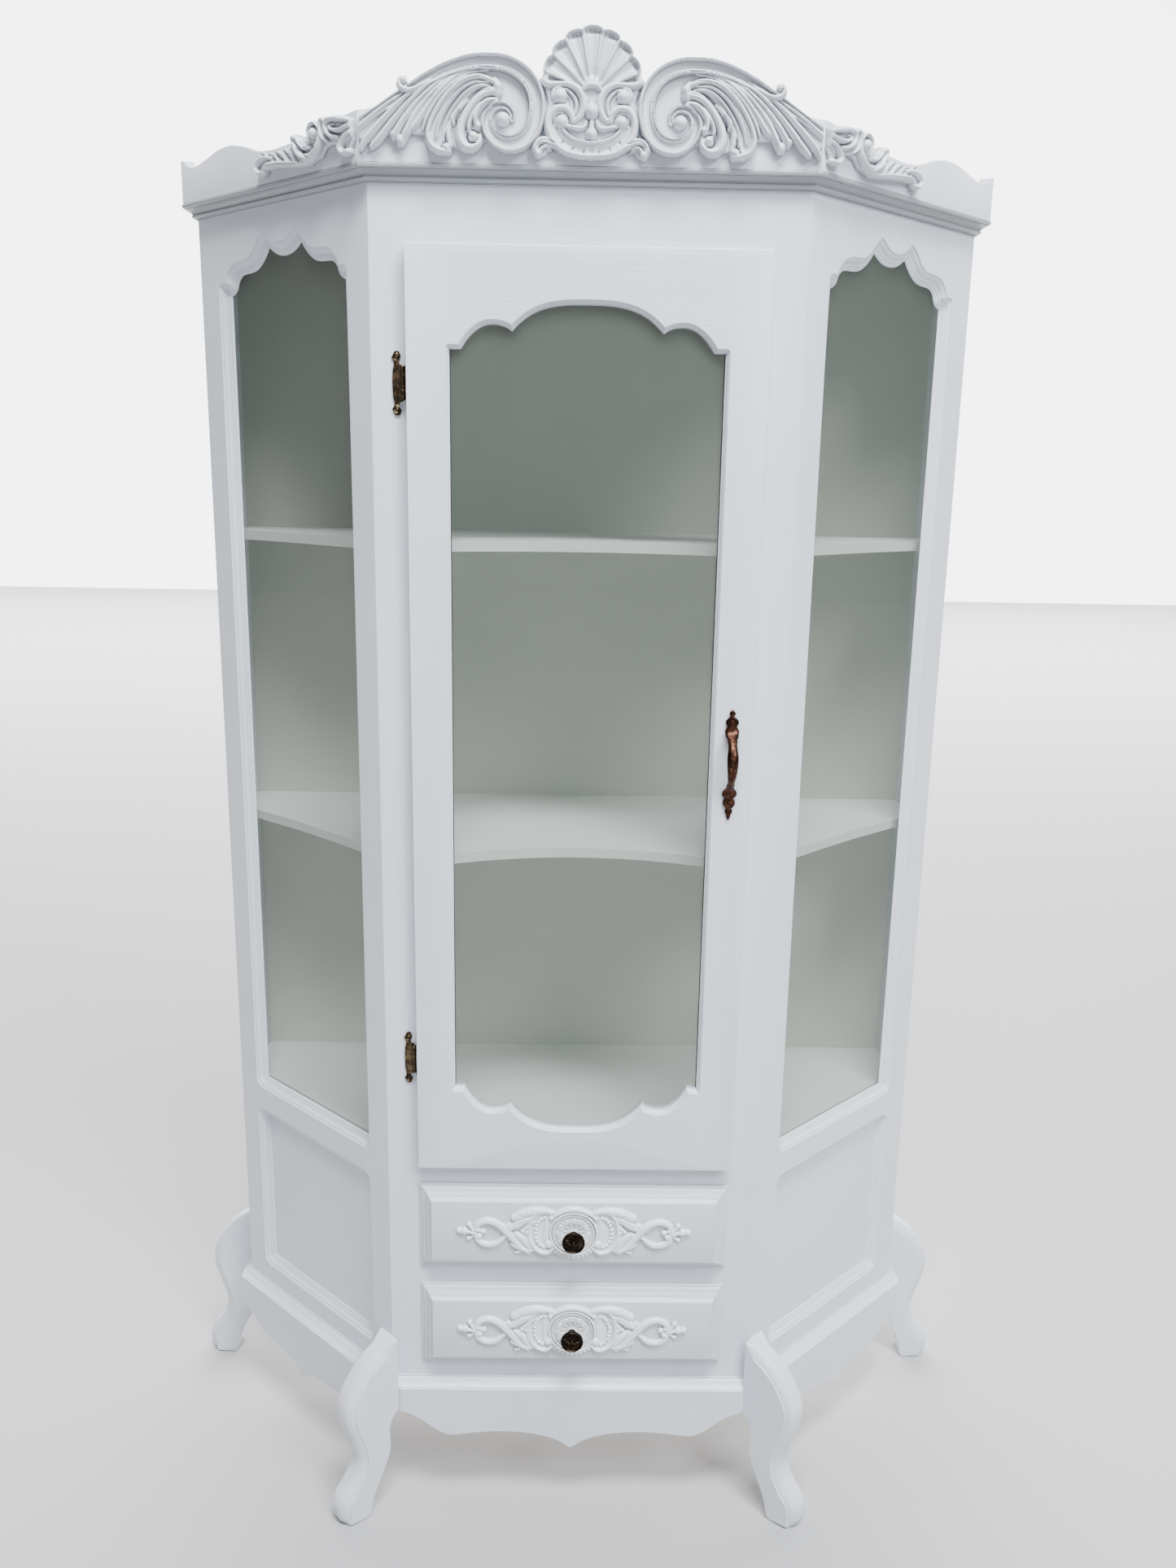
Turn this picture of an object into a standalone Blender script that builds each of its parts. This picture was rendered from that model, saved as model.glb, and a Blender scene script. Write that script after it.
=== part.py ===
"""Curio cabinet with canted glazed sides, one glazed door, two drawers and a carved crest.

Metres, +Z up. The case is drawn with its front face at y = 0 and its back at y = DEPTH, the feet on z = 0,
and the whole object is centred over the origin at the end."""

import math

import bmesh
import bpy
from mathutils import Matrix, Vector

# Overall sizes of the case
FRONT_HALF = 0.248
SIDE_HALF = 0.504
DEPTH = 0.350
RETURN_DEPTH = 0.107
CANT_DEPTH = DEPTH - RETURN_DEPTH
CASE_BOTTOM = 0.160
CASE_TOP = 1.7333

# Frame and panels
FRAME = 0.020
GAP = 0.0003
BACK = 0.006
POST_FRONT = 0.058
STILE = 0.0565
REBATE = 0.008
REBATE_DEPTH = 0.011
GLASS = 0.004
BOARD = 0.018
SHELF = 0.0125

# Drawers
DRAWER_HALF = FRONT_HALF - 0.042
DRAWER_HIGH = 0.121
LOWER_DRAWER = CASE_BOTTOM + 0.067
UPPER_DRAWER = LOWER_DRAWER + DRAWER_HIGH + 0.029
FIELD_MARGIN = 0.0165
FIELD_PROUD = 0.0195
DRAWER_LAP = 0.011
BOX_DEPTH = DEPTH - 0.060

# Levels
FLOOR_TOP = UPPER_DRAWER + DRAWER_HIGH + 0.040
MIDDLE_SHELF = FLOOR_TOP + 0.34385 * (CASE_TOP - FLOOR_TOP)
UPPER_SHELF = FLOOR_TOP + 0.67263 * (CASE_TOP - FLOOR_TOP)
SIDE_WINDOW_BOTTOM = FLOOR_TOP + 0.003
SIDE_PANEL_TOP = FLOOR_TOP - 0.056
SIDE_PANEL_BOTTOM = CASE_BOTTOM + 0.0825
SIDE_REBATE_TOP = CASE_TOP - 0.033
FRONT_OPENING_TOP = CASE_TOP - 0.078

# Door
DOOR_HALF = FRONT_HALF - 0.042
DOOR_BOTTOM = FLOOR_TOP - 0.008
DOOR_TOP = CASE_TOP - 0.064
DOOR_THICK = 0.018
DOOR_CLEAR = 0.0005
DOOR_STILE = 0.049

# Crest, cornice, apron and legs
CORNICE_HIGH = 0.017
CORNICE_OUT = 0.0177
CREST_THICK = 0.0165
APRON_TOP = CASE_BOTTOM + 0.0405
APRON_THICK = 0.015
LEG_THICK = 0.040
LEG_ANGLE = math.radians(52)
LEG_SHIFT = 0.006
REAR_LEG_Y = DEPTH - LEG_THICK / 2 - 0.010
LEG_SCALE = CASE_BOTTOM / 0.160

PLAN = [
    Vector((-SIDE_HALF, DEPTH)),
    Vector((-SIDE_HALF, CANT_DEPTH)),
    Vector((-FRONT_HALF, 0.0)),
    Vector((FRONT_HALF, 0.0)),
    Vector((SIDE_HALF, CANT_DEPTH)),
    Vector((SIDE_HALF, DEPTH)),
]
FRONT, RIGHT, RETURN = 2, 3, 4
CANT = (PLAN[4] - PLAN[3]).length
# The carvings and the window heads are drawn for one width and stretch with the face that carries them
FRONT_STRETCH = FRONT_HALF / 0.248
CANT_STRETCH = CANT / 0.353

for old in list(bpy.data.objects):
    bpy.data.objects.remove(old, do_unlink=True)

PARTS = bpy.data.collections.new("curio_cabinet")
TOOLS = bpy.data.collections.new("cutters")
bpy.context.scene.collection.children.link(PARTS)
bpy.context.scene.collection.children.link(TOOLS)


def material(name, colour, rough, metal=0.0, alpha=1.0):
    made = bpy.data.materials.new(name)
    made.use_nodes = True
    shader = made.node_tree.nodes["Principled BSDF"]
    shader.inputs["Base Color"].default_value = (*colour, 1.0)
    shader.inputs["Roughness"].default_value = rough
    shader.inputs["Metallic"].default_value = metal
    shader.inputs["Alpha"].default_value = alpha
    made.diffuse_color = (*colour, alpha)
    return made


PAINT = material("white_paint", (0.80, 0.81, 0.83), 0.42)
INSIDE = material("inside_paint", (0.76, 0.78, 0.76), 0.55)
RESIN = material("ornament_paint", (0.84, 0.85, 0.87), 0.40)
PANE = material("glass", (0.82, 0.90, 0.87), 0.05, 0.0, 0.25)
BRASS = material("antique_brass", (0.16, 0.10, 0.05), 0.38, 1.0)
COPPER = material("antique_copper", (0.20, 0.085, 0.05), 0.38, 1.0)
PLY = material("bare_wood", (0.55, 0.42, 0.28), 0.70)


def outward(segment):
    along = (PLAN[segment + 1] - PLAN[segment]).normalized()
    return Vector((along.y, -along.x))


def corner(index, offset):
    """Plan corner of the case, moved outwards by the offset with a mitre."""
    if index == 0:
        return PLAN[0] + outward(0) * offset
    if index == len(PLAN) - 1:
        return PLAN[-1] + outward(index - 1) * offset
    one, two = outward(index - 1), outward(index)
    return PLAN[index] + (one + two) * (offset / (1 + one.dot(two)))


def on_face(segment, distance, offset):
    """Plan point at a distance along one face, mitred where the distance reaches a corner."""
    run = PLAN[segment + 1] - PLAN[segment]
    along = run.normalized()
    if distance <= GAP:
        return corner(segment, offset) + along * distance
    if distance >= run.length - GAP:
        return corner(segment + 1, offset) - along * (run.length - distance)
    return PLAN[segment] + along * distance + outward(segment) * offset


def finish(name, bm, paint, collection=PARTS, sharp=35):
    bmesh.ops.recalc_face_normals(bm, faces=bm.faces)
    mesh = bpy.data.meshes.new(name)
    bm.to_mesh(mesh)
    bm.free()
    if mesh.polygons and sum(p.area for p in mesh.polygons) <= 0:
        raise ValueError(name)
    made = bpy.data.objects.new(name, mesh)
    collection.objects.link(made)
    mesh.materials.append(paint)
    mesh.shade_smooth()
    mesh.set_sharp_from_angle(angle=math.radians(sharp))
    if collection is TOOLS:
        made.hide_render = True
        made.display_type = "WIRE"
    return made


def loft(name, rings, paint, collection=PARTS, mirror=False):
    """Closed solid through rings of 3-D points, with its first and last ring filled."""
    bm = bmesh.new()
    flip = -1 if mirror else 1
    rows = [[bm.verts.new((flip * p[0], p[1], p[2])) for p in ring] for ring in rings]
    count = len(rows[0])
    for low, high in zip(rows, rows[1:]):
        for k in range(count):
            n = (k + 1) % count
            bm.faces.new((low[k], low[n], high[n], high[k]))
    bm.faces.new(rows[0])
    bm.faces.new(rows[-1])
    return finish(name, bm, paint, collection)


def prism(name, outline, low, high, paint, collection=PARTS, mirror=False):
    """Vertical prism on a plan outline."""
    rings = [[(p[0], p[1], z) for p in outline] for z in (low, high)]
    return loft(name, rings, paint, collection, mirror)


def box(name, low, high, paint, collection=PARTS, mirror=False):
    plan = [(low[0], low[1]), (high[0], low[1]), (high[0], high[1]), (low[0], high[1])]
    return prism(name, plan, low[2], high[2], paint, collection, mirror)


def sweep(name, stations, profile, paint, collection=PARTS, mirror=False):
    """Sweep along the faces. A station is (segment, distance) and profile(station number) lists (offset, z)."""
    rings = []
    for number, (segment, distance) in enumerate(stations):
        ring = []
        for offset, z in profile(number):
            plan = on_face(segment, distance, offset)
            ring.append((plan.x, plan.y, z))
        rings.append(ring)
    return loft(name, rings, paint, collection, mirror)


def slab(name, segment, outline, near, far, paint, collection=PARTS, mirror=False):
    """Board standing on one face: outline of (distance, z), from one offset to another."""
    rings = []
    for offset in (near, far):
        ring = []
        for distance, z in outline:
            plan = on_face(segment, distance, offset)
            ring.append((plan.x, plan.y, z))
        rings.append(ring)
    return loft(name, rings, paint, collection, mirror)


def boolean(target, tool, kind):
    bpy.context.view_layer.update()
    step = target.modifiers.new(kind.lower(), "BOOLEAN")
    step.operation = kind
    step.solver = "EXACT"
    step.object = tool
    graph = bpy.context.evaluated_depsgraph_get()
    made = bpy.data.meshes.new_from_object(target.evaluated_get(graph))
    target.modifiers.remove(step)
    old = target.data
    target.data = made
    bpy.data.meshes.remove(old)
    return target


def cut(target, tool):
    return boolean(target, tool, "DIFFERENCE")


def join(target, tool):
    boolean(target, tool, "UNION")
    bpy.data.objects.remove(tool, do_unlink=True)
    return target


def circle(radius, count, turn=0.0):
    steps = [2 * math.pi * k / count + turn for k in range(count)]
    return [(radius * math.cos(a), radius * math.sin(a)) for a in steps]


def turned(name, outline, centre, paint, count=24, collection=PARTS):
    """Turned solid whose axis points to the front: outline of (distance forwards, radius)."""
    rings = []
    for forward, radius in outline:
        ring = [(centre[0] + x, centre[1] - forward, centre[2] + z) for x, z in circle(radius, count)]
        rings.append(ring)
    return loft(name, rings, paint, collection)


def smooth_line(points, steps):
    """Catmull-Rom line through the points, ends kept."""
    pts = [Vector(p) for p in points]
    out = []
    for k in range(len(pts) - 1):
        a = pts[max(k - 1, 0)]
        b, c = pts[k], pts[k + 1]
        d = pts[min(k + 2, len(pts) - 1)]
        for j in range(steps):
            t = j / steps
            p = 0.5 * (2 * b + (c - a) * t + (2 * a - 5 * b + 4 * c - d) * t * t + (3 * b - a - 3 * c + d) * t**3)
            out.append(p)
    out.append(pts[-1])
    return out


def arc_height(x, half, rise):
    """Height above its ends of a circular arc with this half chord and rise."""
    radius = (half * half + rise * rise) / (2 * rise)
    return math.sqrt(max(radius * radius - x * x, 0)) - (radius - rise)


# ---------------------------------------------------------------- case
inner_y = DEPTH - BACK
back_half = SIDE_HALF - FRAME - GAP
low_back = (-back_half, inner_y, CASE_BOTTOM)
high_back = (back_half, DEPTH, CASE_TOP)
box("back_panel", low_back, high_back, INSIDE)

side_rebates = []
for mirror, side in ((False, "right"), (True, "left")):
    for tag, low, high in (
        ("window", SIDE_WINDOW_BOTTOM - REBATE, SIDE_REBATE_TOP),
        ("panel", SIDE_PANEL_BOTTOM - REBATE, SIDE_PANEL_TOP + REBATE),
    ):
        edge = STILE - REBATE
        outline = [(edge, low), (CANT - edge, low), (CANT - edge, high), (edge, high)]
        tool = slab(f"rebate_{tag}_{side}", RIGHT, outline, -0.05, -REBATE_DEPTH, PAINT, TOOLS, mirror)
        side_rebates.append((side, tool))


def rebated(made, side):
    for where, tool in side_rebates:
        if where == side:
            cut(made, tool)
    return made


# Half outline of the side window's head: distance from its centre line, drop below the case top
HEAD = [
    (0.0, 0.0583), (0.012, 0.0563), (0.024, 0.0503), (0.034, 0.0463), (0.041, 0.0523),
    (0.052, 0.0623), (0.068, 0.0693), (0.085, 0.0713), (0.099, 0.0763), (0.108, 0.0850),
    (0.112, 0.0923),
]
window_half = CANT / 2 - STILE
head_scale = window_half / 0.12

for mirror, side in ((False, "right"), (True, "left")):
    front_in = PLAN[3].x - POST_FRONT
    cant_out = on_face(RIGHT, STILE - GAP, 0)
    cant_in = on_face(RIGHT, STILE - GAP, -FRAME)
    inside = corner(3, -FRAME)
    post = [(front_in, 0), PLAN[3], cant_out, cant_in, inside, (front_in, FRAME)]
    rebated(prism(f"front_post_{side}", post, CASE_BOTTOM, CASE_TOP, PAINT, PARTS, mirror), side)

    rear_out = on_face(RIGHT, CANT - STILE + GAP, 0)
    rear_in = on_face(RIGHT, CANT - STILE + GAP, -FRAME)
    post = [rear_out, PLAN[4], PLAN[5], corner(5, -FRAME), corner(4, -FRAME), rear_in]
    rebated(prism(f"rear_post_{side}", post, CASE_BOTTOM, CASE_TOP, PAINT, PARTS, mirror), side)

    marks = [(-d, h) for d, h in reversed(HEAD[1:])] + HEAD
    stations = [(RIGHT, STILE)] + [(RIGHT, CANT / 2 + d * head_scale) for d, h in marks] + [(RIGHT, CANT - STILE)]
    drops = [HEAD[-1][1]] + [h for d, h in marks] + [HEAD[-1][1]]

    def head_profile(number, drops=drops):
        z = CASE_TOP - drops[number]
        return [(0, CASE_TOP), (0, z), (-FRAME, z), (-FRAME, CASE_TOP)]

    head = sweep(f"side_head_rail_{side}", stations, head_profile, PAINT, PARTS, mirror)
    rebated(head, side)
    for label, low, high in (
        ("middle", SIDE_PANEL_TOP, SIDE_WINDOW_BOTTOM),
        ("bottom", CASE_BOTTOM, SIDE_PANEL_BOTTOM),
    ):
        outline = [(STILE, low), (CANT - STILE, low), (CANT - STILE, high), (STILE, high)]
        rail = slab(f"side_{label}_rail_{side}", RIGHT, outline, 0, -FRAME, PAINT, PARTS, mirror)
        rebated(rail, side)

    edge = STILE - REBATE + 0.0007
    pane_low = SIDE_WINDOW_BOTTOM - REBATE + 0.0006
    pane_high = SIDE_REBATE_TOP - 0.0006
    near = -REBATE_DEPTH - GAP
    outline = [(edge, pane_low), (CANT - edge, pane_low), (CANT - edge, pane_high), (edge, pane_high)]
    slab(f"side_glass_{side}", RIGHT, outline, near, near - GLASS, PANE, PARTS, mirror)
    low = SIDE_PANEL_BOTTOM - REBATE + 0.0006
    high = SIDE_PANEL_TOP + REBATE - 0.0006
    outline = [(edge, low), (CANT - edge, low), (CANT - edge, high), (edge, high)]
    slab(f"side_panel_{side}", RIGHT, outline, near, near - 0.006, PAINT, PARTS, mirror)

# Rails of the front frame, between the posts
opening = FRONT_HALF - POST_FRONT
rail_half = opening - GAP
door_sill = FLOOR_TOP + GAP
middle_low = UPPER_DRAWER + DRAWER_HIGH - DRAWER_LAP
for name, low, high in (
    ("front_top_rail", FRONT_OPENING_TOP, CASE_TOP),
    ("front_middle_rail", middle_low, door_sill),
    ("front_drawer_rail", LOWER_DRAWER + DRAWER_HIGH - DRAWER_LAP, UPPER_DRAWER + DRAWER_LAP),
    ("front_bottom_rail", CASE_BOTTOM, LOWER_DRAWER + DRAWER_LAP),
):
    box(name, (-rail_half, 0, low), (rail_half, FRAME, high), PAINT)

# Horizontal boards follow the inside of the case
inside_plan = [corner(k, -FRAME - GAP) for k in range(1, 5)]
back_right = Vector((inside_plan[-1].x, inner_y - GAP))
back_left = Vector((-back_right.x, back_right.y))
board_plan = [back_left] + inside_plan + [back_right]
prism("floor_panel", board_plan, FLOOR_TOP - BOARD, FLOOR_TOP, INSIDE)
prism("bottom_panel", board_plan, CASE_BOTTOM, CASE_BOTTOM + 0.012, PLY)

# Shelves: the front edge bows in behind the door and behind each side window
BOW_HALF = FRONT_HALF - 0.076
BOW_DEEP = 0.0405
bow_y = FRAME + GAP
front_edge = []
for k in range(17):
    x = -BOW_HALF + 2 * BOW_HALF * k / 16
    front_edge.append(Vector((x, bow_y + arc_height(x, BOW_HALF, BOW_DEEP))))
side_edge = []
for k in range(1, 8):
    t = k / 8
    away = 0.034 * t * (1 - t)
    side_edge.append(on_face(RIGHT, CANT * t, -FRAME - GAP - away))
left_edge = [Vector((-p.x, p.y)) for p in reversed(side_edge)]
shelf_plan = [back_left, inside_plan[0]] + left_edge + [inside_plan[1]] + front_edge
shelf_plan += [inside_plan[2]] + side_edge + [inside_plan[3], back_right]
prism("middle_shelf", shelf_plan, MIDDLE_SHELF - SHELF, MIDDLE_SHELF, INSIDE)
prism("upper_shelf", shelf_plan, UPPER_SHELF - SHELF, UPPER_SHELF, INSIDE)

# ---------------------------------------------------------------- top board and crest boards
base = CASE_TOP + GAP
top = base + CORNICE_HIGH
out = CORNICE_OUT
# The top board's moulded edge as (offset, height over its underside)
CORNICE = [
    (out - 0.0147, 0.0), (out - 0.0125, 0.0025), (out - 0.0105, 0.0040), (out - 0.0100, 0.0055),
    (out - 0.0060, 0.0065), (out - 0.0035, 0.0090), (out - 0.0030, 0.0120), (out, 0.0125), (out, CORNICE_HIGH),
]
rings = []
for offset, rise in CORNICE:
    rings.append([(p.x, p.y, base + rise) for p in (corner(k, offset) for k in range(6))])
loft("top_board", rings, PAINT)
half_gap = GAP / 2

crest_low = top + GAP
# Top edges of the crest boards: share of the way from the middle or front corner, height over the cornice
FRONT_CREST = [
    (0.0, 0.112), (0.10, 0.108), (0.20, 0.092), (0.26, 0.084), (0.36, 0.098), (0.46, 0.102), (0.58, 0.096),
    (0.72, 0.080), (0.86, 0.064), (0.94, 0.056), (1.0, 0.052),
]
SIDE_CREST = [
    (0.0, 0.052), (0.10, 0.048), (0.25, 0.040), (0.40, 0.036), (0.52, 0.038), (0.60, 0.0475),
    (0.69, 0.0535), (0.78, 0.0515), (0.86, 0.0450), (0.93, 0.0405), (0.975, 0.0440), (1.0, 0.0500),
]


def crest(name, segment, marks, length, mirror=False):
    line = smooth_line([(share * length, high, 0) for share, high in marks], 3)
    line[0].x = half_gap
    line[-1].x = length - half_gap
    stations = [(segment, p.x) for p in line]

    def profile(number):
        z = crest_low + line[number].y
        return [(0, crest_low), (CREST_THICK, crest_low), (CREST_THICK, z), (0, z)]

    return sweep(name, stations, profile, PAINT, PARTS, mirror)


both = [((1 - share) / 2, high) for share, high in reversed(FRONT_CREST)]
both += [((1 + share) / 2, high) for share, high in FRONT_CREST[1:]]
crest("crest_board_front", FRONT, both, 2 * FRONT_HALF)
for mirror, side in ((False, "right"), (True, "left")):
    crest(f"crest_board_{side}", RIGHT, SIDE_CREST, CANT, mirror)


def relief(name, segment, outline, base_offset, high, paint, mirror=False, steps=3):
    """Carved ornament as a pillow over its outline, standing on a face."""
    line = [Vector((p.x, p.y)) for p in smooth_line([(*p, 0) for p in outline + outline[:1]], steps)[:-1]]
    middle = sum(line, Vector((0, 0))) / len(line)
    rings = []
    for shrink, share in ((1.0, 0.0), (1.0, 0.45), (0.97, 0.75), (0.88, 0.95), (0.70, 1.0)):
        ring = []
        for p in line:
            q = middle + (p - middle) * shrink
            plan = on_face(segment, q.x, base_offset + high * share)
            ring.append((plan.x, plan.y, q.y))
        rings.append(ring)
    return loft(name, rings, paint, PARTS, mirror)


ornament_offset = CREST_THICK + GAP
CARTOUCHE = [
    (0.0, 0.010), (0.030, 0.012), (0.050, 0.022), (0.052, 0.045), (0.044, 0.070), (0.050, 0.092),
    (0.050, 0.110), (0.036, 0.128), (0.018, 0.138), (0.0, 0.142),
]
outline = CARTOUCHE + [(-x, z) for x, z in reversed(CARTOUCHE[1:-1])]
centre = FRONT_HALF
outline = [(centre + x * FRONT_STRETCH, crest_low + z) for x, z in outline]
relief("crest_cartouche", FRONT, outline, ornament_offset, 0.016, RESIN)
SCROLL = [
    (0.056, 0.012), (0.080, 0.008), (0.110, 0.016), (0.140, 0.012), (0.170, 0.018), (0.205, 0.012),
    (0.244, 0.008), (0.246, 0.030), (0.222, 0.052), (0.212, 0.078), (0.196, 0.074), (0.170, 0.088),
    (0.140, 0.102), (0.110, 0.109), (0.080, 0.102), (0.060, 0.086), (0.054, 0.050),
]
LEAF = [
    (0.012, 0.010), (0.050, 0.014), (0.090, 0.014), (0.130, 0.008), (0.180, 0.006), (0.225, 0.001),
    (0.228, 0.014), (0.200, 0.024), (0.160, 0.030), (0.120, 0.046), (0.090, 0.060), (0.060, 0.058),
    (0.030, 0.046), (0.014, 0.032),
]
for mirror, side in ((False, "right"), (True, "left")):
    outline = [(centre + x * FRONT_STRETCH, crest_low + z) for x, z in SCROLL]
    relief(f"crest_scroll_{side}", FRONT, outline, ornament_offset, 0.014, RESIN, mirror, 2)
    outline = [(x * CANT_STRETCH, crest_low + z) for x, z in LEAF]
    relief(f"crest_leaf_{side}", RIGHT, outline, ornament_offset, 0.012, RESIN, mirror, 2)

# ---------------------------------------------------------------- aprons
# Lower edges: share of the way from the middle or front corner, height above the floor
FRONT_APRON = [
    (0.0, 0.0937), (0.05, 0.1030), (0.11, 0.1105), (0.21, 0.1165), (0.33, 0.1195), (0.48, 0.1185),
    (0.62, 0.1140), (0.68, 0.1122), (0.74, 0.1165), (0.80, 0.1300), (0.86, 0.1420), (0.92, 0.1500), (1.0, 0.1540),
]
SIDE_APRON = [
    (0.0, 0.1500), (0.10, 0.1390), (0.22, 0.1150), (0.33, 0.1115), (0.45, 0.1085), (0.52, 0.1020), (0.565, 0.0900),
    (0.61, 0.1020), (0.68, 0.1085), (0.78, 0.1130), (0.86, 0.1160), (0.90, 0.1250), (0.95, 0.1345), (1.0, 0.1400),
]


def apron_profile(z, top_z=APRON_TOP, thick=APRON_THICK):
    low = min(z, top_z - 0.02)
    return [
        (GAP, low), (thick, low), (thick, top_z - 0.0150), (thick - 0.0010, top_z - 0.0125),
        (thick - 0.0060, top_z - 0.0090), (thick - 0.0110, top_z - 0.0010), (GAP, top_z),
    ]


apron_half = FRONT_HALF - 0.0025
half_line = smooth_line([(share * apron_half, z * LEG_SCALE, 0) for share, z in FRONT_APRON], 2)
line = [Vector((-p.x, p.y, 0)) for p in reversed(half_line[1:])] + half_line
line = [(FRONT_HALF + p.x, p.y) for p in line]
sweep("apron_front", [(FRONT, x) for x, z in line], lambda n: apron_profile(line[n][1]), PAINT)
side_line = [(p.x, p.y) for p in smooth_line([(share * CANT, z * LEG_SCALE, 0) for share, z in SIDE_APRON], 2)]
side_line[0] = (0.003, side_line[0][1])
stations = [(RIGHT, x) for x, z in side_line[:-1]] + [(RETURN, 0.0)]
levels = [z for x, z in side_line]
leg_front = REAR_LEG_Y - LEG_THICK / 2 - CANT_DEPTH - GAP
stations += [(RETURN, leg_front * 0.5), (RETURN, leg_front)]
levels += [levels[-1] + 0.006, levels[-1] + 0.010]
for mirror, side in ((False, "right"), (True, "left")):
    sweep(f"apron_{side}", stations, lambda n: apron_profile(levels[n]), PAINT, PARTS, mirror)

# ---------------------------------------------------------------- legs
LEG = [
    (-0.040, 0.155), (-0.040, 0.262), (0.002, 0.262), (0.018, 0.2535), (0.036, 0.2435), (0.054, 0.2280),
    (0.069, 0.2080), (0.0775, 0.1900), (0.0800, 0.1740), (0.0780, 0.1540), (0.0710, 0.1300),
    (0.0640, 0.1080), (0.0615, 0.0900), (0.0660, 0.0710), (0.0770, 0.0550), (0.0880, 0.0420),
    (0.0925, 0.0280), (0.0910, 0.0130), (0.0850, 0.0030), (0.0780, 0.0), (0.0500, 0.0), (0.0460, 0.0060),
    (0.0435, 0.0200), (0.0390, 0.0350), (0.0290, 0.0560), (0.0185, 0.0760), (0.0135, 0.0950),
    (0.0140, 0.1120), (0.0150, 0.1260), (0.0090, 0.1410), (0.0010, 0.1500), (-0.012, 0.155),
]


def leg(name, foot, way, back_cut, mirror):
    across = Vector((-way.y, way.x))
    rings = []
    half = LEG_THICK / 2
    for side, inset in ((-half, 0.004), (-half + 0.004, 0.0), (half - 0.004, 0.0), (half, 0.004)):
        ring = []
        for k, (d, z) in enumerate(LEG):
            pull = inset if 2 <= k <= 18 else 0.0
            plan = foot + way * (d - pull) + across * side
            ring.append((plan.x, plan.y, z * LEG_SCALE))
        rings.append(ring)
    made = loft(name, rings, PAINT, PARTS, mirror)
    for tool in back_cut:
        cut(made, tool)
    return made


for mirror, side in ((False, "right"), (True, "left")):
    reach = [corner(k, GAP) for k in range(2, 6)]
    keep = [Vector((0, 0 - GAP)), reach[1], reach[2], Vector((reach[3].x, DEPTH + 0.1)), Vector((0, DEPTH + 0.1))]
    case_tool = prism(f"case_notch_{side}", keep, CASE_BOTTOM - 0.0053, CASE_BOTTOM + 0.14 * LEG_SCALE, PAINT, TOOLS, mirror)
    clear = APRON_THICK + GAP
    end = apron_half + GAP
    plan = [(0, -clear), (end, -clear), (end, 0.002), (0, 0.002)]
    high = APRON_TOP + GAP
    front_tool = prism(f"front_apron_notch_{side}", plan, 0.147 * LEG_SCALE, high, PAINT, TOOLS, mirror)
    spots = [(0.003 - GAP, 0.0), (0.003 - GAP, clear), (CANT * 0.8, clear), (CANT * 0.8, 0.0)]
    plan = [on_face(RIGHT, s, o) for s, o in spots]
    side_tool = prism(f"side_apron_notch_{side}", plan, 0.135 * LEG_SCALE, high, PAINT, TOOLS, mirror)
    way = Vector((math.sin(LEG_ANGLE), -math.cos(LEG_ANGLE)))
    foot = PLAN[3] + Vector((-way.y, way.x)) * LEG_SHIFT
    leg(f"leg_front_{side}", foot, way, (case_tool, front_tool, side_tool), mirror)
    foot = Vector((SIDE_HALF, REAR_LEG_Y))
    leg(f"leg_rear_{side}", foot, Vector((1, 0)), (case_tool,), mirror)

# ---------------------------------------------------------------- door
ARCH_SMALL = (0.0861, 0.1445)
ARCH_BIG_RISE = 0.030
door_near = DOOR_CLEAR
door_far = DOOR_CLEAR + DOOR_THICK
window = DOOR_HALF - DOOR_STILE
scale_x = window / 0.157
cusp = ARCH_SMALL[0] * scale_x
notch = ARCH_SMALL[1] * scale_x
window_top = DOOR_TOP - 0.0610
window_low = DOOR_BOTTOM + 0.0580


def door_edge(x):
    """Drop of the window's head below its crown, at a distance from the middle."""
    x = abs(x)
    if x <= cusp:
        return ARCH_BIG_RISE - arc_height(x, cusp, ARCH_BIG_RISE)
    if x <= notch:
        middle, half = (cusp + notch) / 2, (notch - cusp) / 2
        tilt = 0.020 * (x - cusp) / (notch - cusp)
        return ARCH_BIG_RISE + tilt - arc_height(x - middle, half, 0.0165)
    return ARCH_BIG_RISE + 0.020


rail_end = window - GAP
steps = [rail_end, notch + 0.0002] + [notch - (notch - cusp) * k / 8 for k in range(9)]
steps += [cusp - cusp * k / 8 for k in range(1, 9)]
xs = [-x for x in steps] + [x for x in reversed(steps[:-1])]
door_stations = [(FRONT, FRONT_HALF + x) for x in xs]
rebate_far = door_near + 0.009
reb_half = window + REBATE
reb_low, reb_high = window_low - REBATE, window_top + REBATE
door_rebate = box("door_rebate", (-reb_half, -rebate_far, reb_low), (reb_half, 0.02, reb_high), PAINT, TOOLS)


def head(n):
    z = window_top - door_edge(xs[n])
    return [(door_near, DOOR_TOP), (door_near, z), (door_far, z), (door_far, DOOR_TOP)]


def sill(n):
    z = window_low + door_edge(xs[n]) * 1.1
    return [(door_near, z), (door_near, DOOR_BOTTOM), (door_far, DOOR_BOTTOM), (door_far, z)]


cut(sweep("door_top_rail", door_stations, head, PAINT), door_rebate)
cut(sweep("door_bottom_rail", door_stations, sill, PAINT), door_rebate)
for mirror, side in ((False, "right"), (True, "left")):
    low = (window, -door_far, DOOR_BOTTOM)
    high = (DOOR_HALF, -door_near, DOOR_TOP)
    cut(box(f"door_stile_{side}", low, high, PAINT, PARTS, mirror), door_rebate)
pane = (-reb_half + 0.0005, -rebate_far + GAP, reb_low + 0.0005)
box("door_glass", pane, (reb_half - 0.0005, -rebate_far + GAP + GLASS, reb_high - 0.0005), PANE)

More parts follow.
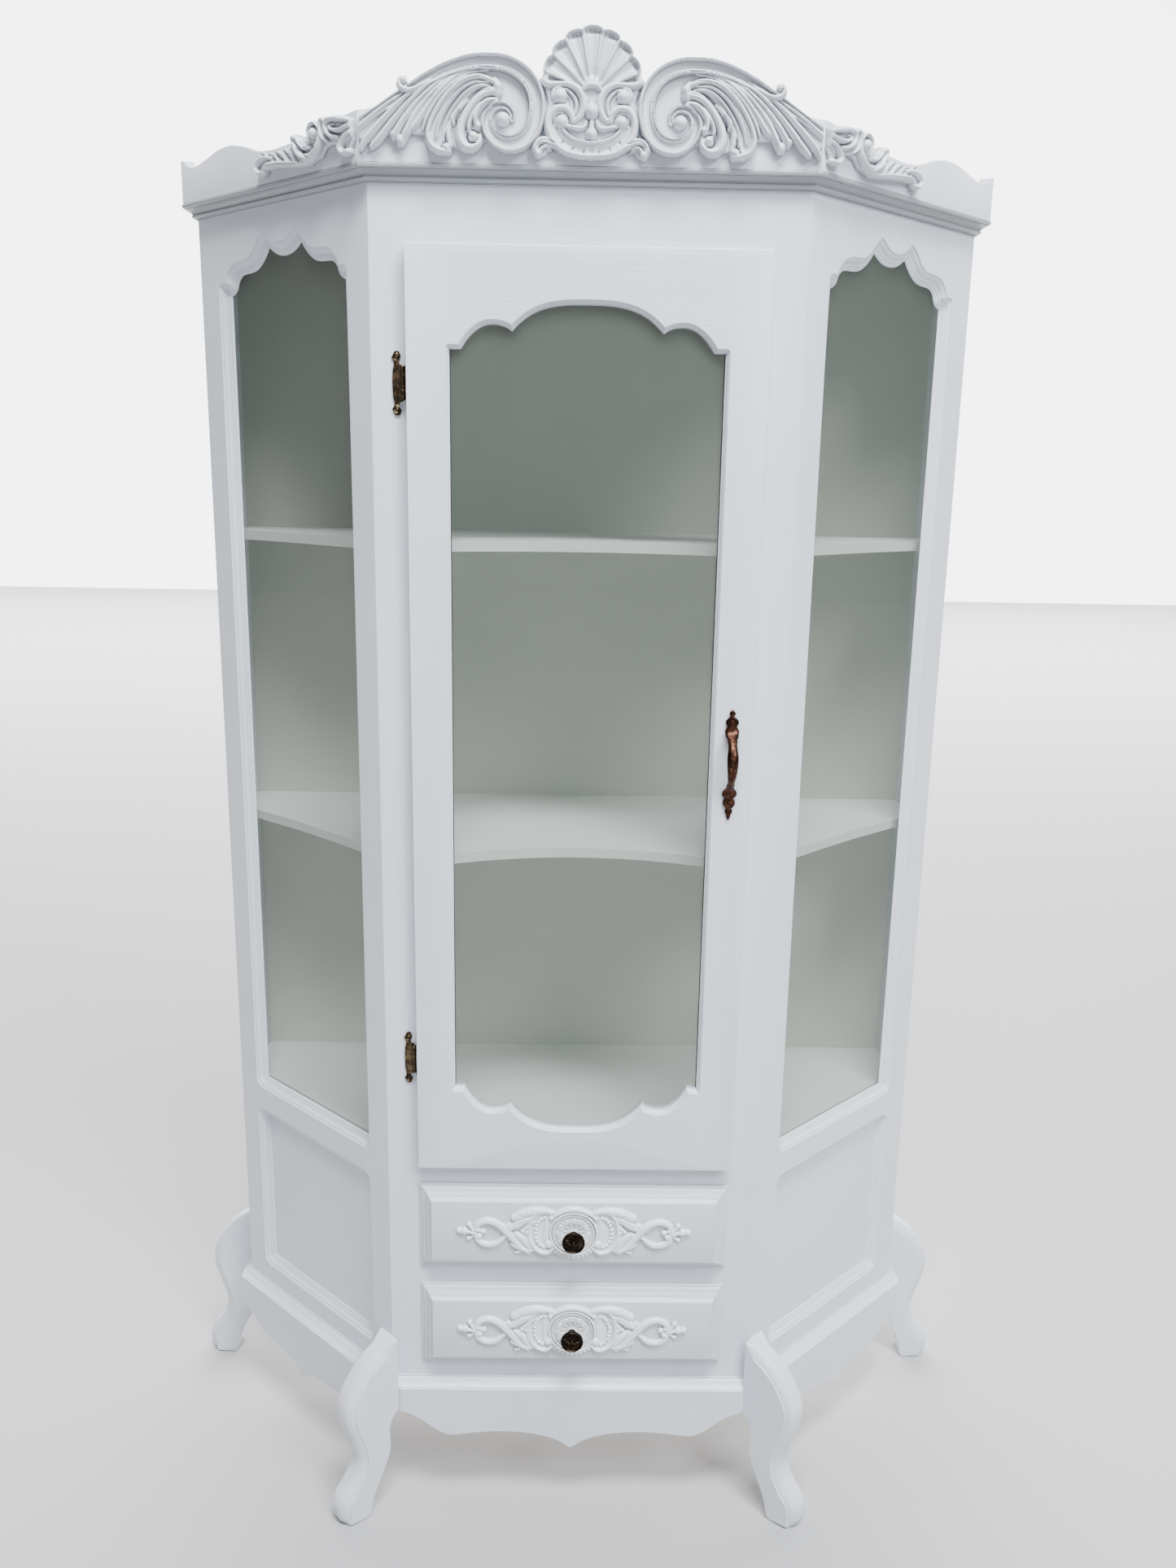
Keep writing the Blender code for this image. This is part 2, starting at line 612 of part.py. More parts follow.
# Pull: sections down its length as (height, distance off the door, half width, half thickness)
PULL = [
    (0.0690, 0.0016, 0.0012, 0.0012), (0.0640, 0.0020, 0.0040, 0.0016), (0.0600, 0.0018, 0.0034, 0.0014),
    (0.0550, 0.0020, 0.0085, 0.0017), (0.0490, 0.0022, 0.0070, 0.0019), (0.0430, 0.0026, 0.0085, 0.0023),
    (0.0360, 0.0060, 0.0085, 0.0040), (0.0290, 0.0150, 0.0075, 0.0045), (0.0200, 0.0225, 0.0062, 0.0048),
    (0.0080, 0.0255, 0.0056, 0.0048), (-0.0060, 0.0240, 0.0066, 0.0046), (-0.0170, 0.0180, 0.0070, 0.0044),
    (-0.0250, 0.0100, 0.0066, 0.0040), (-0.0310, 0.0044, 0.0078, 0.0032), (-0.0380, 0.0026, 0.0095, 0.0023),
    (-0.0450, 0.0022, 0.0066, 0.0019), (-0.0510, 0.0020, 0.0085, 0.0017), (-0.0570, 0.0018, 0.0050, 0.0015),
    (-0.0620, 0.0018, 0.0036, 0.0014), (-0.0690, 0.0016, 0.0012, 0.0012),
]
PULL_Z = DOOR_BOTTOM + 0.551
PULL_X = DOOR_HALF - 0.024
rings = []
for height, away, wide, thick in PULL:
    ring = []
    for c, s in circle(1.0, 12):
        ring.append((PULL_X + wide * c, -door_far - GAP - away - thick * s, PULL_Z + height))
    rings.append(ring)
loft("door_handle", rings, COPPER)

# ---------------------------------------------------------------- hinges
HINGE_X = -DOOR_HALF - 0.0054
HINGE_Y = -0.0062
KNUCKLE = 0.0037
LEAF_SHAPE = [
    (-0.0005, 0.0205), (-0.0050, 0.0215), (-0.0056, 0.0265), (-0.0036, 0.0290), (-0.0050, 0.0330),
    (-0.0076, 0.0355), (-0.0104, 0.0330), (-0.0118, 0.0285), (-0.0106, 0.0240), (-0.0090, 0.0190),
    (-0.0098, 0.0120), (-0.0092, 0.0),
]
shape = LEAF_SHAPE + [(x, -z) for x, z in reversed(LEAF_SHAPE[:-1])]


def post(name, radius, low, high, collection=PARTS):
    plan = [(HINGE_X + x, HINGE_Y + y) for x, y in circle(radius, 16, math.pi / 16)]
    return prism(name, plan, low, high, BRASS, collection)


for label, z in (("upper", DOOR_TOP - 0.1488), ("lower", DOOR_BOTTOM + 0.1505)):
    outline = [(HINGE_X + 0.0009 + x, z + h) for x, h in shape]
    rings = [[(x, y, h) for x, h in outline] for y in (-GAP, -0.0020)]
    leaf = loft(f"hinge_{label}_frame_leaf", rings, BRASS)
    for low, high in ((0.0063, 0.0185), (-0.0185, -0.0063)):
        join(leaf, post("knuckle", KNUCKLE, z + low, z + high))
        web = box("web", (HINGE_X - 0.0034, HINGE_Y, z + low), (HINGE_X - 0.0014, -0.0010, z + high), BRASS)
        join(leaf, web)
    join(leaf, post("pin", 0.0015, z - 0.0170, z + 0.0170))
    bore = post(f"bore_{label}", 0.0019, z - 0.03, z + 0.03, TOOLS)
    bar = post(f"hinge_{label}_door_leaf", KNUCKLE, z - 0.0060, z + 0.0060)
    low = (HINGE_X + 0.0026, HINGE_Y - 0.0016, z - 0.0060)
    join(bar, box("arm", low, (-DOOR_HALF - GAP, HINGE_Y + 0.0016, z + 0.0060), BRASS))
    low = (-DOOR_HALF - GAP - 0.0009, -0.0160, z - 0.0190)
    join(bar, box("edge", low, (-DOOR_HALF - GAP, -0.0030, z + 0.0190), BRASS))
    cut(bar, bore)

# ---------------------------------------------------------------- drawers
for label, low_z in (("upper", UPPER_DRAWER), ("lower", LOWER_DRAWER)):
    high_z = low_z + DRAWER_HIGH
    mid_z = (low_z + high_z) / 2
    rings = []
    for inset, y in (
        (0.0, -DOOR_CLEAR), (0.0, -0.0035), (0.0030, -0.0052), (0.0050, -0.0090), (0.0080, -0.0105),
        (0.0090, -0.0130), (FIELD_MARGIN - 0.003, -0.0160), (FIELD_MARGIN, -FIELD_PROUD), (FIELD_MARGIN + 0.0005, -FIELD_PROUD - 0.0005),
    ):
        half = DRAWER_HALF - inset
        a, b = low_z + inset, high_z - inset
        rings.append([(-half, y, a), (half, y, a), (half, y, b), (-half, y, b)])
    loft(f"drawer_{label}_front", rings, PAINT)

    half = opening - 0.0030
    low = (-half, -DOOR_CLEAR + GAP, low_z + DRAWER_LAP + 0.004)
    high = (half, BOX_DEPTH, high_z - DRAWER_LAP - 0.008)
    tray = box(f"drawer_{label}_box", low, high, PLY)
    wall = 0.010
    hollow_low = (low[0] + wall, low[1] + wall, low[2] + 0.006)
    hollow_high = (high[0] - wall, high[1] - wall, high[2] + 0.02)
    cut(tray, box(f"hollow_{label}", hollow_low, hollow_high, PLY, TOOLS))

    ornament_z = mid_z + 0.002
    ORNAMENT = [
        (0.0, 0.0365), (0.016, 0.0330), (0.036, 0.0310), (0.062, 0.0230), (0.078, 0.0120), (0.104, 0.0160),
        (0.128, 0.0060), (0.154, 0.0),
    ]
    half_shape = ORNAMENT + [(x, -z) for x, z in reversed(ORNAMENT[:-1])]
    shape = half_shape + [(-x, z) for x, z in half_shape[-2:0:-1]]
    outline = [(FRONT_HALF + x * FRONT_STRETCH, ornament_z + z) for x, z in shape]
    relief(f"drawer_{label}_ornament", FRONT, outline, FIELD_PROUD + 0.0005 + GAP, 0.0055, RESIN, False, 2)
    knob_y = -FIELD_PROUD - 0.0005 - 0.0055 - 2 * GAP
    KNOB = [
        (0.0, 0.0070), (0.0015, 0.0075), (0.0030, 0.0050), (0.0080, 0.0042), (0.0120, 0.0060), (0.0150, 0.0120),
        (0.0170, 0.0140), (0.0195, 0.0138), (0.0210, 0.0110), (0.0216, 0.0060), (0.0218, 0.0020),
    ]
    turned(f"drawer_{label}_knob", KNOB, (0, knob_y, mid_z + 0.0005), BRASS)

# Guides: an upright board on each side with a ledge under each drawer
wall = opening - 0.0015
ledge = 0.012
guide_low = CASE_BOTTOM + 0.012 + GAP
guide_top = FLOOR_TOP - BOARD - GAP
outline = [(wall, guide_low)]
for low_z in (LOWER_DRAWER, UPPER_DRAWER):
    seat = low_z + DRAWER_LAP + 0.004 - GAP
    outline += [(wall, seat - 0.0095), (wall - ledge, seat - 0.0095), (wall - ledge, seat), (wall, seat)]
outline += [(wall, guide_top), (wall + 0.012, guide_top), (wall + 0.012, guide_low)]
guide_near, guide_far = FRAME + GAP, inner_y - GAP
rings = [[(x, y, z) for x, z in outline] for y in (guide_near, guide_far)]
for mirror, side in ((False, "right"), (True, "left")):
    loft(f"drawer_guide_{side}", rings, PLY, PARTS, mirror)

# Catch on the edge of the right post, hidden behind the door's stile
catch_z = (DOOR_BOTTOM + DOOR_TOP) / 2 + 0.17
box("door_catch", (opening - 0.020, 0.002, catch_z - 0.02), (opening - GAP, 0.016, catch_z + 0.02), PLY)


# ---------------------------------------------------------------- origins and parents
def move_origin(made, spot):
    made.data.transform(Matrix.Translation(-spot))
    made.location = spot


def empty(name, spot):
    made = bpy.data.objects.new(name, None)
    made.empty_display_size = 0.05
    made.location = spot
    PARTS.objects.link(made)
    return made


case = empty("case_origin", Vector((0, DEPTH / 2, 0)))
hinge_axis = empty("door_pivot", Vector((HINGE_X, HINGE_Y, DOOR_BOTTOM)))
upper_slide = empty("drawer_upper_slide", Vector((0, 0, UPPER_DRAWER)))
lower_slide = empty("drawer_lower_slide", Vector((0, 0, LOWER_DRAWER)))
for pivot in (hinge_axis, upper_slide, lower_slide):
    pivot.parent = case
    pivot.location = pivot.location - case.location
bpy.context.view_layer.update()
for made in [o for o in PARTS.objects if o.type == "MESH"]:
    name = made.name
    if (name.startswith("door_") and name != "door_catch") or name.endswith("door_leaf"):
        parent = hinge_axis
    elif name.startswith("drawer_upper"):
        parent = upper_slide
    elif name.startswith("drawer_lower"):
        parent = lower_slide
    else:
        parent = case
    points = [v.co for v in made.data.vertices]
    low = Vector([min(p[k] for p in points) for k in range(3)])
    high = Vector([max(p[k] for p in points) for k in range(3)])
    spot = Vector(((low.x + high.x) / 2, (low.y + high.y) / 2, low.z))
    if name.endswith("_leaf") and name.startswith("hinge"):
        spot = Vector((HINGE_X, HINGE_Y, (low.z + high.z) / 2))
    move_origin(made, spot)
    made.parent = parent
    made.location = spot - parent.matrix_world.translation

# Centre the whole object front to back over the origin
bpy.context.view_layer.update()
depths = [(o.matrix_world @ v.co).y for o in PARTS.objects if o.type == "MESH" for v in o.data.vertices]
case.location.y -= (min(depths) + max(depths)) / 2

print("pieces", sum(o.type == "MESH" for o in PARTS.objects))
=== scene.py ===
"""Curio cabinet: painted case with canted glazed sides, glazed door, two drawers, sawn legs and a carved crest."""

import math

import bmesh
import bpy
import numpy as np
from mathutils import Matrix, Vector
from mathutils.geometry import tessellate_polygon


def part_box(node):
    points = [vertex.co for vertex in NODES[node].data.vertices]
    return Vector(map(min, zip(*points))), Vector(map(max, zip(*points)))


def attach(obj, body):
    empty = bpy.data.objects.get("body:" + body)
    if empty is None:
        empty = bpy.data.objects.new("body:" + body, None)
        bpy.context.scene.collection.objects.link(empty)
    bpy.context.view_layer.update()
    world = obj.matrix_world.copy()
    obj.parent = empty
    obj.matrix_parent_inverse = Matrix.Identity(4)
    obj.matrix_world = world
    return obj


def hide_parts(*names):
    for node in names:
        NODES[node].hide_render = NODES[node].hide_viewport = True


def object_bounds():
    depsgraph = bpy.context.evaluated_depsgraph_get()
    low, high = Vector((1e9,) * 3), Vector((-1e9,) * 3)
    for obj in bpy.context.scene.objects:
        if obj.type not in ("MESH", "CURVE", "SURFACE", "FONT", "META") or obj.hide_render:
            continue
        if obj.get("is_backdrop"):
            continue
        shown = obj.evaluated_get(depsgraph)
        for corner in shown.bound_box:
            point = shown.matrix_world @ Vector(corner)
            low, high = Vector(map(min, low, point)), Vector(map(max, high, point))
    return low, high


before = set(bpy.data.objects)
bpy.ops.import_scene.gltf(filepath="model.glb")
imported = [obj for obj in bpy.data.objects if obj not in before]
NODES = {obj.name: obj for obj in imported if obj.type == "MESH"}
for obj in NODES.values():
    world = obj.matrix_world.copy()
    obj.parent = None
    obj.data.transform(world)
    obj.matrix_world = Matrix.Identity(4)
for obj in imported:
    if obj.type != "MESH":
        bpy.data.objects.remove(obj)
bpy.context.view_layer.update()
MM = 0.001
HANDS = ((False, "right"), (True, "left"))

# ---------------------------------------------------------------- places taken from the frame
POST_LOW, POST_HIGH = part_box("front_post_right")
FRONT_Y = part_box("front_top_rail")[0].y
BACK_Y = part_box("back_panel")[1].y
CASE_BOTTOM, CASE_TOP = POST_LOW.z, POST_HIGH.z
POST_IN = POST_LOW.x
SIDE_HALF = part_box("rear_post_right")[1].x
FRONT_HALF = 0.248
CANT_DEPTH = BACK_Y - FRONT_Y - 0.107
CREST_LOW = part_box("crest_board_front")[0].z
THICK = 0.020
STILE = 0.0565
CANT = math.hypot(SIDE_HALF - FRONT_HALF, CANT_DEPTH)
PLAN = [
    Vector((-SIDE_HALF, BACK_Y)), Vector((-SIDE_HALF, FRONT_Y + CANT_DEPTH)), Vector((-FRONT_HALF, FRONT_Y)),
    Vector((FRONT_HALF, FRONT_Y)), Vector((SIDE_HALF, FRONT_Y + CANT_DEPTH)), Vector((SIDE_HALF, BACK_Y)),
]
FRONT, RIGHT, RETURN = 2, 3, 4


# ---------------------------------------------------------------- shader expressions
class Value:
    """A socket in a shader tree, with arithmetic that adds Math nodes."""

    def __init__(self, tree, socket):
        self.tree, self.socket = tree, socket

    def math(self, kind, other=None, swap=False):
        made = self.tree.nodes.new("ShaderNodeMath")
        made.operation = kind
        pair = [self, other] if not swap else [other, self]
        for slot, item in zip(made.inputs, pair):
            if isinstance(item, Value):
                self.tree.links.new(item.socket, slot)
            elif item is not None:
                slot.default_value = item
        return Value(self.tree, made.outputs[0])

    def __add__(self, other):
        return self.math("ADD", other)

    __radd__ = __add__

    def __mul__(self, other):
        return self.math("MULTIPLY", other)

    __rmul__ = __mul__

    def __sub__(self, other):
        return self.math("SUBTRACT", other)

    def __rsub__(self, other):
        return self.math("SUBTRACT", other, True)

    def clamped(self):
        made = self.math("ADD", 0.0)
        made.socket.node.use_clamp = True
        return made


class Finish:
    """A material being built: one method makes any node."""

    def __init__(self, name, **constants):
        self.made = bpy.data.materials.new(name)
        self.made.use_nodes = True
        self.tree = self.made.node_tree
        self.shader = self.tree.nodes["Principled BSDF"]
        for key, value in constants.items():
            self.shader.inputs[key.replace("_", " ")].default_value = value

    def node(self, kind, settings=None, out=0, **inputs):
        made = self.tree.nodes.new(kind)
        for key, value in (settings or {}).items():
            if key == "stops":
                while len(made.color_ramp.elements) < len(value):
                    made.color_ramp.elements.new(0.5)
                for element, (spot, colour) in zip(made.color_ramp.elements, value):
                    element.position, element.color = spot, (*colour, 1.0)
            else:
                setattr(made, key, value)
        for key, value in inputs.items():
            slot = made.inputs[int(key[1:])] if key[1:].isdigit() else made.inputs[key.replace("_", " ")]
            if isinstance(value, Value):
                self.tree.links.new(value.socket, slot)
            else:
                slot.default_value = value
        return Value(self.tree, made.outputs[out])

    def place(self, scale=(1, 1, 1)):
        spot = self.node("ShaderNodeTexCoord", out=3)
        return self.node("ShaderNodeMapping", Vector=spot, Scale=scale)

    def noise(self, scale, detail=3.0, stretch=(1, 1, 1), rough=0.55, twist=0.0):
        return self.node(
            "ShaderNodeTexNoise", Vector=self.place(stretch), Scale=scale, Detail=detail, Roughness=rough,
            Distortion=twist,
        )

    def ramp(self, value, *stops):
        return self.node("ShaderNodeValToRGB", {"stops": stops}, Fac=value)

    def grade(self, value, low, high, to_low=0.0, to_high=1.0):
        """Map a number linearly and hold it inside the new range."""
        return self.node(
            "ShaderNodeMapRange", Value=value, From_Min=low, From_Max=high, To_Min=to_low, To_Max=to_high
        )

    def blend(self, amount, one, two):
        return self.node("ShaderNodeMix", {"data_type": "RGBA"}, out=2, _0=amount, _6=one, _7=two)

    def bump(self, height, strength, distance):
        return self.node("ShaderNodeBump", Height=height, Strength=strength, Distance=distance)

    def feed(self, **links):
        for key, value in links.items():
            self.tree.links.new(value.socket, self.shader.inputs[key.replace("_", " ")])
        return self.made


def paint(name, light, dark, grain, rough=0.36, streak=0.5, painted_shade_heights=None, hollow=None):
    """Brushed satin paint over timber: brush marks and raised grain run along the grain's direction. It can also carry
    painted shade: darker towards the top between two heights, and darker in a carving's crevices.
    """
    made = Finish(name, Coat_Weight=0.05, Coat_Roughness=0.30)
    long = {"z": (60, 60, 1.4), "x": (1.4, 1.4, 60)}[grain]
    brush = made.noise(4.0, 4.0, long, 0.6, 0.3)
    fibre = made.noise(11.0, 3.0, long, 0.5, 0.0)
    patch = made.noise(5.0, 3.0)
    speck = made.noise(900.0, 2.0)
    nib = made.noise(170.0, 1.0)
    shade = (brush * 0.35 + patch * 0.65).clamped()
    colour = made.blend(made.grade(shade, 0.36, 0.62), (*dark, 1), (*light, 1))
    # Painted shade: above the lower of the two heights the colour darkens, by up to half at the upper one, standing in
    # for the shade under the top board.
    if painted_shade_heights:
        high = made.node("ShaderNodeSeparateXYZ", out=2, _0=made.place())
        colour = made.blend(made.grade(high, *painted_shade_heights), colour, made.blend(0.50, colour, (0.0, 0.0, 0.0, 1)))
    # Painted shade in a carving's crevices: where the hollow attribute is high, the colour darkens towards near black
    # by the given share.
    if hollow:
        crevice_shade = made.node("ShaderNodeAttribute", {"attribute_name": "hollow"}, out=2)
        colour = made.blend(crevice_shade.clamped(), colour, made.blend(hollow, colour, (0.03, 0.03, 0.035, 1)))
    gloss = made.grade(brush * 0.6 + speck * 0.4, 0.3, 0.7, rough - 0.07, rough + 0.09)
    ridges = made.grade(fibre, 0.44, 0.60)
    height = brush * streak + ridges * (0.30 * streak) + speck * 0.06 + made.grade(nib, 0.70, 0.78) * 0.7
    normal = made.bump(height, 0.42, 0.00055)
    return made.feed(Base_Color=colour, Roughness=gloss, Normal=normal)


def metal(name, dark, light, rough=0.34, worn=0.5):
    """Antiqued metal: dark patina with the high spots rubbed brighter."""
    made = Finish(name, Metallic=1.0)
    cloud = made.noise(190.0, 4.0, rough=0.65)
    fine = made.noise(1400.0, 3.0)
    mask = made.grade(cloud * 0.7 + fine * 0.3, 0.62 - worn * 0.3, 0.72)
    colour = made.blend(mask, (*dark, 1), (*light, 1))
    gloss = made.grade(fine, 0.3, 0.7, rough - 0.08, rough + 0.14)
    normal = made.bump(cloud * 0.7 + fine * 0.3, 0.35, 0.0003)
    return made.feed(Base_Color=colour, Roughness=gloss, Normal=normal)


PAINT_UP = paint("white_paint_upright", (0.680, 0.715, 0.780), (0.640, 0.676, 0.745), "z")
PAINT_ALONG = paint("white_paint_along", (0.665, 0.700, 0.765), (0.625, 0.662, 0.728), "x", streak=0.75)
# The drawer fronts' paint is a greyer copy of the case paint: painted shade.
SHADED_FIELD_PAINT = paint("white_paint_field_painted_shade", (0.625, 0.656, 0.690), (0.590, 0.622, 0.656), "x", rough=0.36)
# Ornament paint, with painted shade in its crevices.
RESIN_PAINT = paint("ornament_paint", (0.650, 0.676, 0.728), (0.615, 0.643, 0.694), "x", rough=0.34, streak=0.12,
    hollow=0.62)
# The drawer rosettes' paint is a brighter copy of the ornament paint: painted light, with painted shade in its
# crevices.
LIT_RESIN_PAINT = paint("drawer_ornament_paint", (0.830, 0.845, 0.870), (0.795, 0.812, 0.840), "x", rough=0.28,
    streak=0.05, hollow=0.55)
# The cornice's paint is about half as bright as the case paint: painted shade for its downward-facing cove and beads.
SHADED_CORNICE_PAINT = paint("white_paint_cornice_painted_shade", (0.340, 0.356, 0.380), (0.310, 0.328, 0.352), "x", rough=0.34,
    streak=0.6)
# Inside paint, darkened towards the top with painted shade.
INSIDE_PAINT = paint("inside_paint", (0.675, 0.680, 0.600), (0.635, 0.640, 0.562), "x", rough=0.55, streak=0.25,
    painted_shade_heights=(0.75, 1.6))
# Shelf paint is a brighter copy of the inside paint: painted light where light through the glass falls on the shelves.
LIT_SHELF_PAINT = paint("shelf_paint_painted_light", (0.780, 0.805, 0.770), (0.740, 0.765, 0.730), "x", rough=0.45, streak=0.25)
BRASS = metal("antique_brass", (0.045, 0.032, 0.022), (0.30, 0.21, 0.11))
DARK_BRASS = metal("dark_brass", (0.014, 0.010, 0.008), (0.11, 0.075, 0.04), worn=0.42)
COPPER = metal("antique_copper", (0.034, 0.016, 0.012), (0.20, 0.088, 0.050))


def timber(name):
    made = Finish(name)
    rings = made.noise(9.0, 4.0, (1, 1, 14), 0.6, 0.8)
    pore = made.noise(60.0, 3.0, (1, 1, 14))
    colour = made.ramp(rings * 0.7 + pore * 0.3, (0.30, (0.42, 0.29, 0.17)), (0.70, (0.62, 0.48, 0.31)))
    normal = made.bump(pore, 0.3, 0.0004)
    return made.feed(Base_Color=colour, Roughness=made.grade(pore, 0.3, 0.7, 0.6, 0.8), Normal=normal)


def clear_glass(name):
    made = Finish(name, Base_Color=(0.15, 0.18, 0.155, 1), Roughness=0.03, Alpha=0.20, IOR=1.45)
    made.made.surface_render_method = "BLENDED"
    return made.made


WOOD = timber("bare_wood")
GLASS = clear_glass("glass")


# ---------------------------------------------------------------- places on the case
def outward(segment):
    along = (PLAN[segment + 1] - PLAN[segment]).normalized()
    return Vector((along.y, -along.x))


def corner(index, offset):
    """Plan corner of the case moved outwards by the offset, mitred."""
    if index in (0, 5):
        return PLAN[index] + outward(0 if index == 0 else 4) * offset
    one, two = outward(index - 1), outward(index)
    return PLAN[index] + (one + two) * (offset / (1 + one.dot(two)))


def spot(segment, distance, offset, z):
    """Point on a face: distance along it, offset outwards, height."""
    along = (PLAN[segment + 1] - PLAN[segment]).normalized()
    p = PLAN[segment] + along * distance + outward(segment) * offset
    return Vector((p.x, p.y, z))


def mitred(segment, distance, offset, z):
    """As spot, but drawn to the mitre line at either end of the face."""
    run = (PLAN[segment + 1] - PLAN[segment]).length
    if distance <= 1e-6:
        p = corner(segment, offset)
    elif distance >= run - 1e-6:
        p = corner(segment + 1, offset)
    else:
        return spot(segment, distance, offset, z)
    return Vector((p.x, p.y, z))


# ---------------------------------------------------------------- mesh making
def plain_mesh(name, verts, faces, weld=None):
    """Mesh with its faces pointing outwards, and its doubles merged where weld gives a distance."""
    mesh = bpy.data.meshes.new(name)
    mesh.from_pydata([tuple(v) for v in verts], [], faces)
    bm = bmesh.new()
    bm.from_mesh(mesh)
    if weld:
        bmesh.ops.remove_doubles(bm, verts=bm.verts, dist=weld)
        bmesh.ops.dissolve_degenerate(bm, edges=bm.edges, dist=1e-6)
    bmesh.ops.recalc_face_normals(bm, faces=bm.faces)
    bm.to_mesh(mesh)
    bm.free()
    return mesh


def adopt(name, mesh, finish, slot, body, node, sharp=30):
    """Make the mesh a finished piece, riding on its body and standing for its CAD node."""
    made = bpy.data.objects.new(name, mesh)
    bpy.context.scene.collection.objects.link(made)
    mesh.materials.clear()
    mesh.materials.append(finish)
    mesh.shade_smooth()
    mesh.set_sharp_from_angle(angle=math.radians(sharp))
    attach(made, body)
    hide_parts(node)
    return made


def build(name, verts, faces, finish, slot, body, node, sharp=30, mirror=False, weld=1e-5):
    if mirror:
        verts = [(-p[0], p[1], p[2]) for p in verts]
    return adopt(name, plain_mesh(name, verts, faces, weld), finish, slot, body, node, sharp)


def painted(name, solid, finish, node, body="case", **more):
    return build(name, *solid, finish, "white_paint", body, node, **more)


def strip(start, n):
    """Faces between two rings of n points that follow one another from start."""
    return [(start + k, start + (k + 1) % n, start + n + (k + 1) % n, start + n + k) for k in range(n)]


def tube(rings):
    """Closed solid through equal rings of points."""
    verts = [p for ring in rings for p in ring]
    n, count = len(rings[0]), len(verts)
    faces = [face for start in range(0, count - n, n) for face in strip(start, n)]
    return verts, faces + [tuple(range(n)), tuple(range(count - n, count))]


def line_through(points, steps):
    """Catmull-Rom line through points of any size, ends kept."""
    pts = np.array(points, float)
    ext = np.vstack([2 * pts[0] - pts[1], pts, 2 * pts[-1] - pts[-2]])
    out = []
    for k in range(1, len(ext) - 2):
        a, b, c, d = ext[k - 1 : k + 3]
        for t in np.arange(steps) / steps:
            out.append(0.5 * (2 * b + (c - a) * t + (2 * a - 5 * b + 4 * c - d) * t**2 + (3 * b - a - 3 * c + d) * t**3))
    out.append(pts[-1])
    return np.array(out)


def nearest(points, line):
    """Distance from each point to a closed polyline."""
    p = np.asarray(points)[:, None, :]
    a = np.asarray(line)[None]
    b = np.roll(np.asarray(line), -1, axis=0)[None]
    ab = b - a
    t = np.clip(((p - a) * ab).sum(-1) / np.maximum((ab**2).sum(-1), 1e-18), 0, 1)
    return np.sqrt(((a + t[..., None] * ab - p) ** 2).sum(-1)).min(1)


def fan_of(outline):
    """Points, outward directions and tangents round an opening, with a fan of directions at each sharp corner."""
    pts = np.array(outline, float)
    ahead = np.roll(pts, -1, axis=0) - pts
    ahead /= np.linalg.norm(ahead, axis=1)[:, None]
    sharp_turn, fan = 0.26, 6
    spots, ways, tangents = [], [], []
    for p, t1, t2 in zip(pts, np.roll(ahead, 1, axis=0), ahead):
        n1, n2 = np.array((t1[1], -t1[0])), np.array((t2[1], -t2[0]))
        turn = math.atan2(t1[0] * t2[1] - t1[1] * t2[0], float(t1 @ t2))
        if turn > sharp_turn:
            for a in (turn * k / fan for k in range(fan + 1)):
                x, z = n1[0] * math.cos(a) - n1[1] * math.sin(a), n1[0] * math.sin(a) + n1[1] * math.cos(a)
                spots.append(p), ways.append(np.array((x, z))), tangents.append(np.array((-z, x)))
        else:
            spots.append(p), ways.append((n1 + n2) / (1 + n1 @ n2)), tangents.append((t1 + t2) / 2)
    return np.array(spots), np.array(ways), np.array(tangents)


def routed(outline, reach):
    """The opening's outline moved outwards by reach, as a cutter that follows its edge leaves it."""
    spots, ways, tangents = fan_of(outline)
    moved = spots + ways * reach
    if reach < 1e-6:
        return moved
    good = nearest(moved, outline) > reach * 0.985 - 1e-6
    count = len(moved)
    if good.all() or not good.any():
        return moved
    start = int(np.argmax(good))
    k = start
    while k < start + count:
        if good[k % count]:
            k += 1
            continue
        first = k
        while not good[k % count]:
            k += 1
        a, b = (first - 1) % count, k % count
        meet = (moved[a] + moved[b]) / 2
        (ux, uz), (vx, vz) = tangents[a], tangents[b]
        cross = ux * vz - uz * vx
        if abs(cross) > 0.15:
            dx, dz = moved[b] - moved[a]
            along = (dx * vz - dz * vx) / cross
            if abs(along) < 0.006:
                meet = moved[a] + tangents[a] * along
        for j in range(first, k):
            moved[j % count] = meet
    return moved


def flat_fill(loops, verts, faces, depth, place):
    """Fill the flat face between an outer loop and its openings."""
    start = len(verts)
    flat = [p for loop in loops for p in loop]
    verts.extend(place(p[0], p[1], depth) for p in flat)
    fill = tessellate_polygon([[Vector((p[0], p[1], 0)) for p in loop] for loop in loops])
    faces.extend(tuple(start + k for k in face) for face in fill)


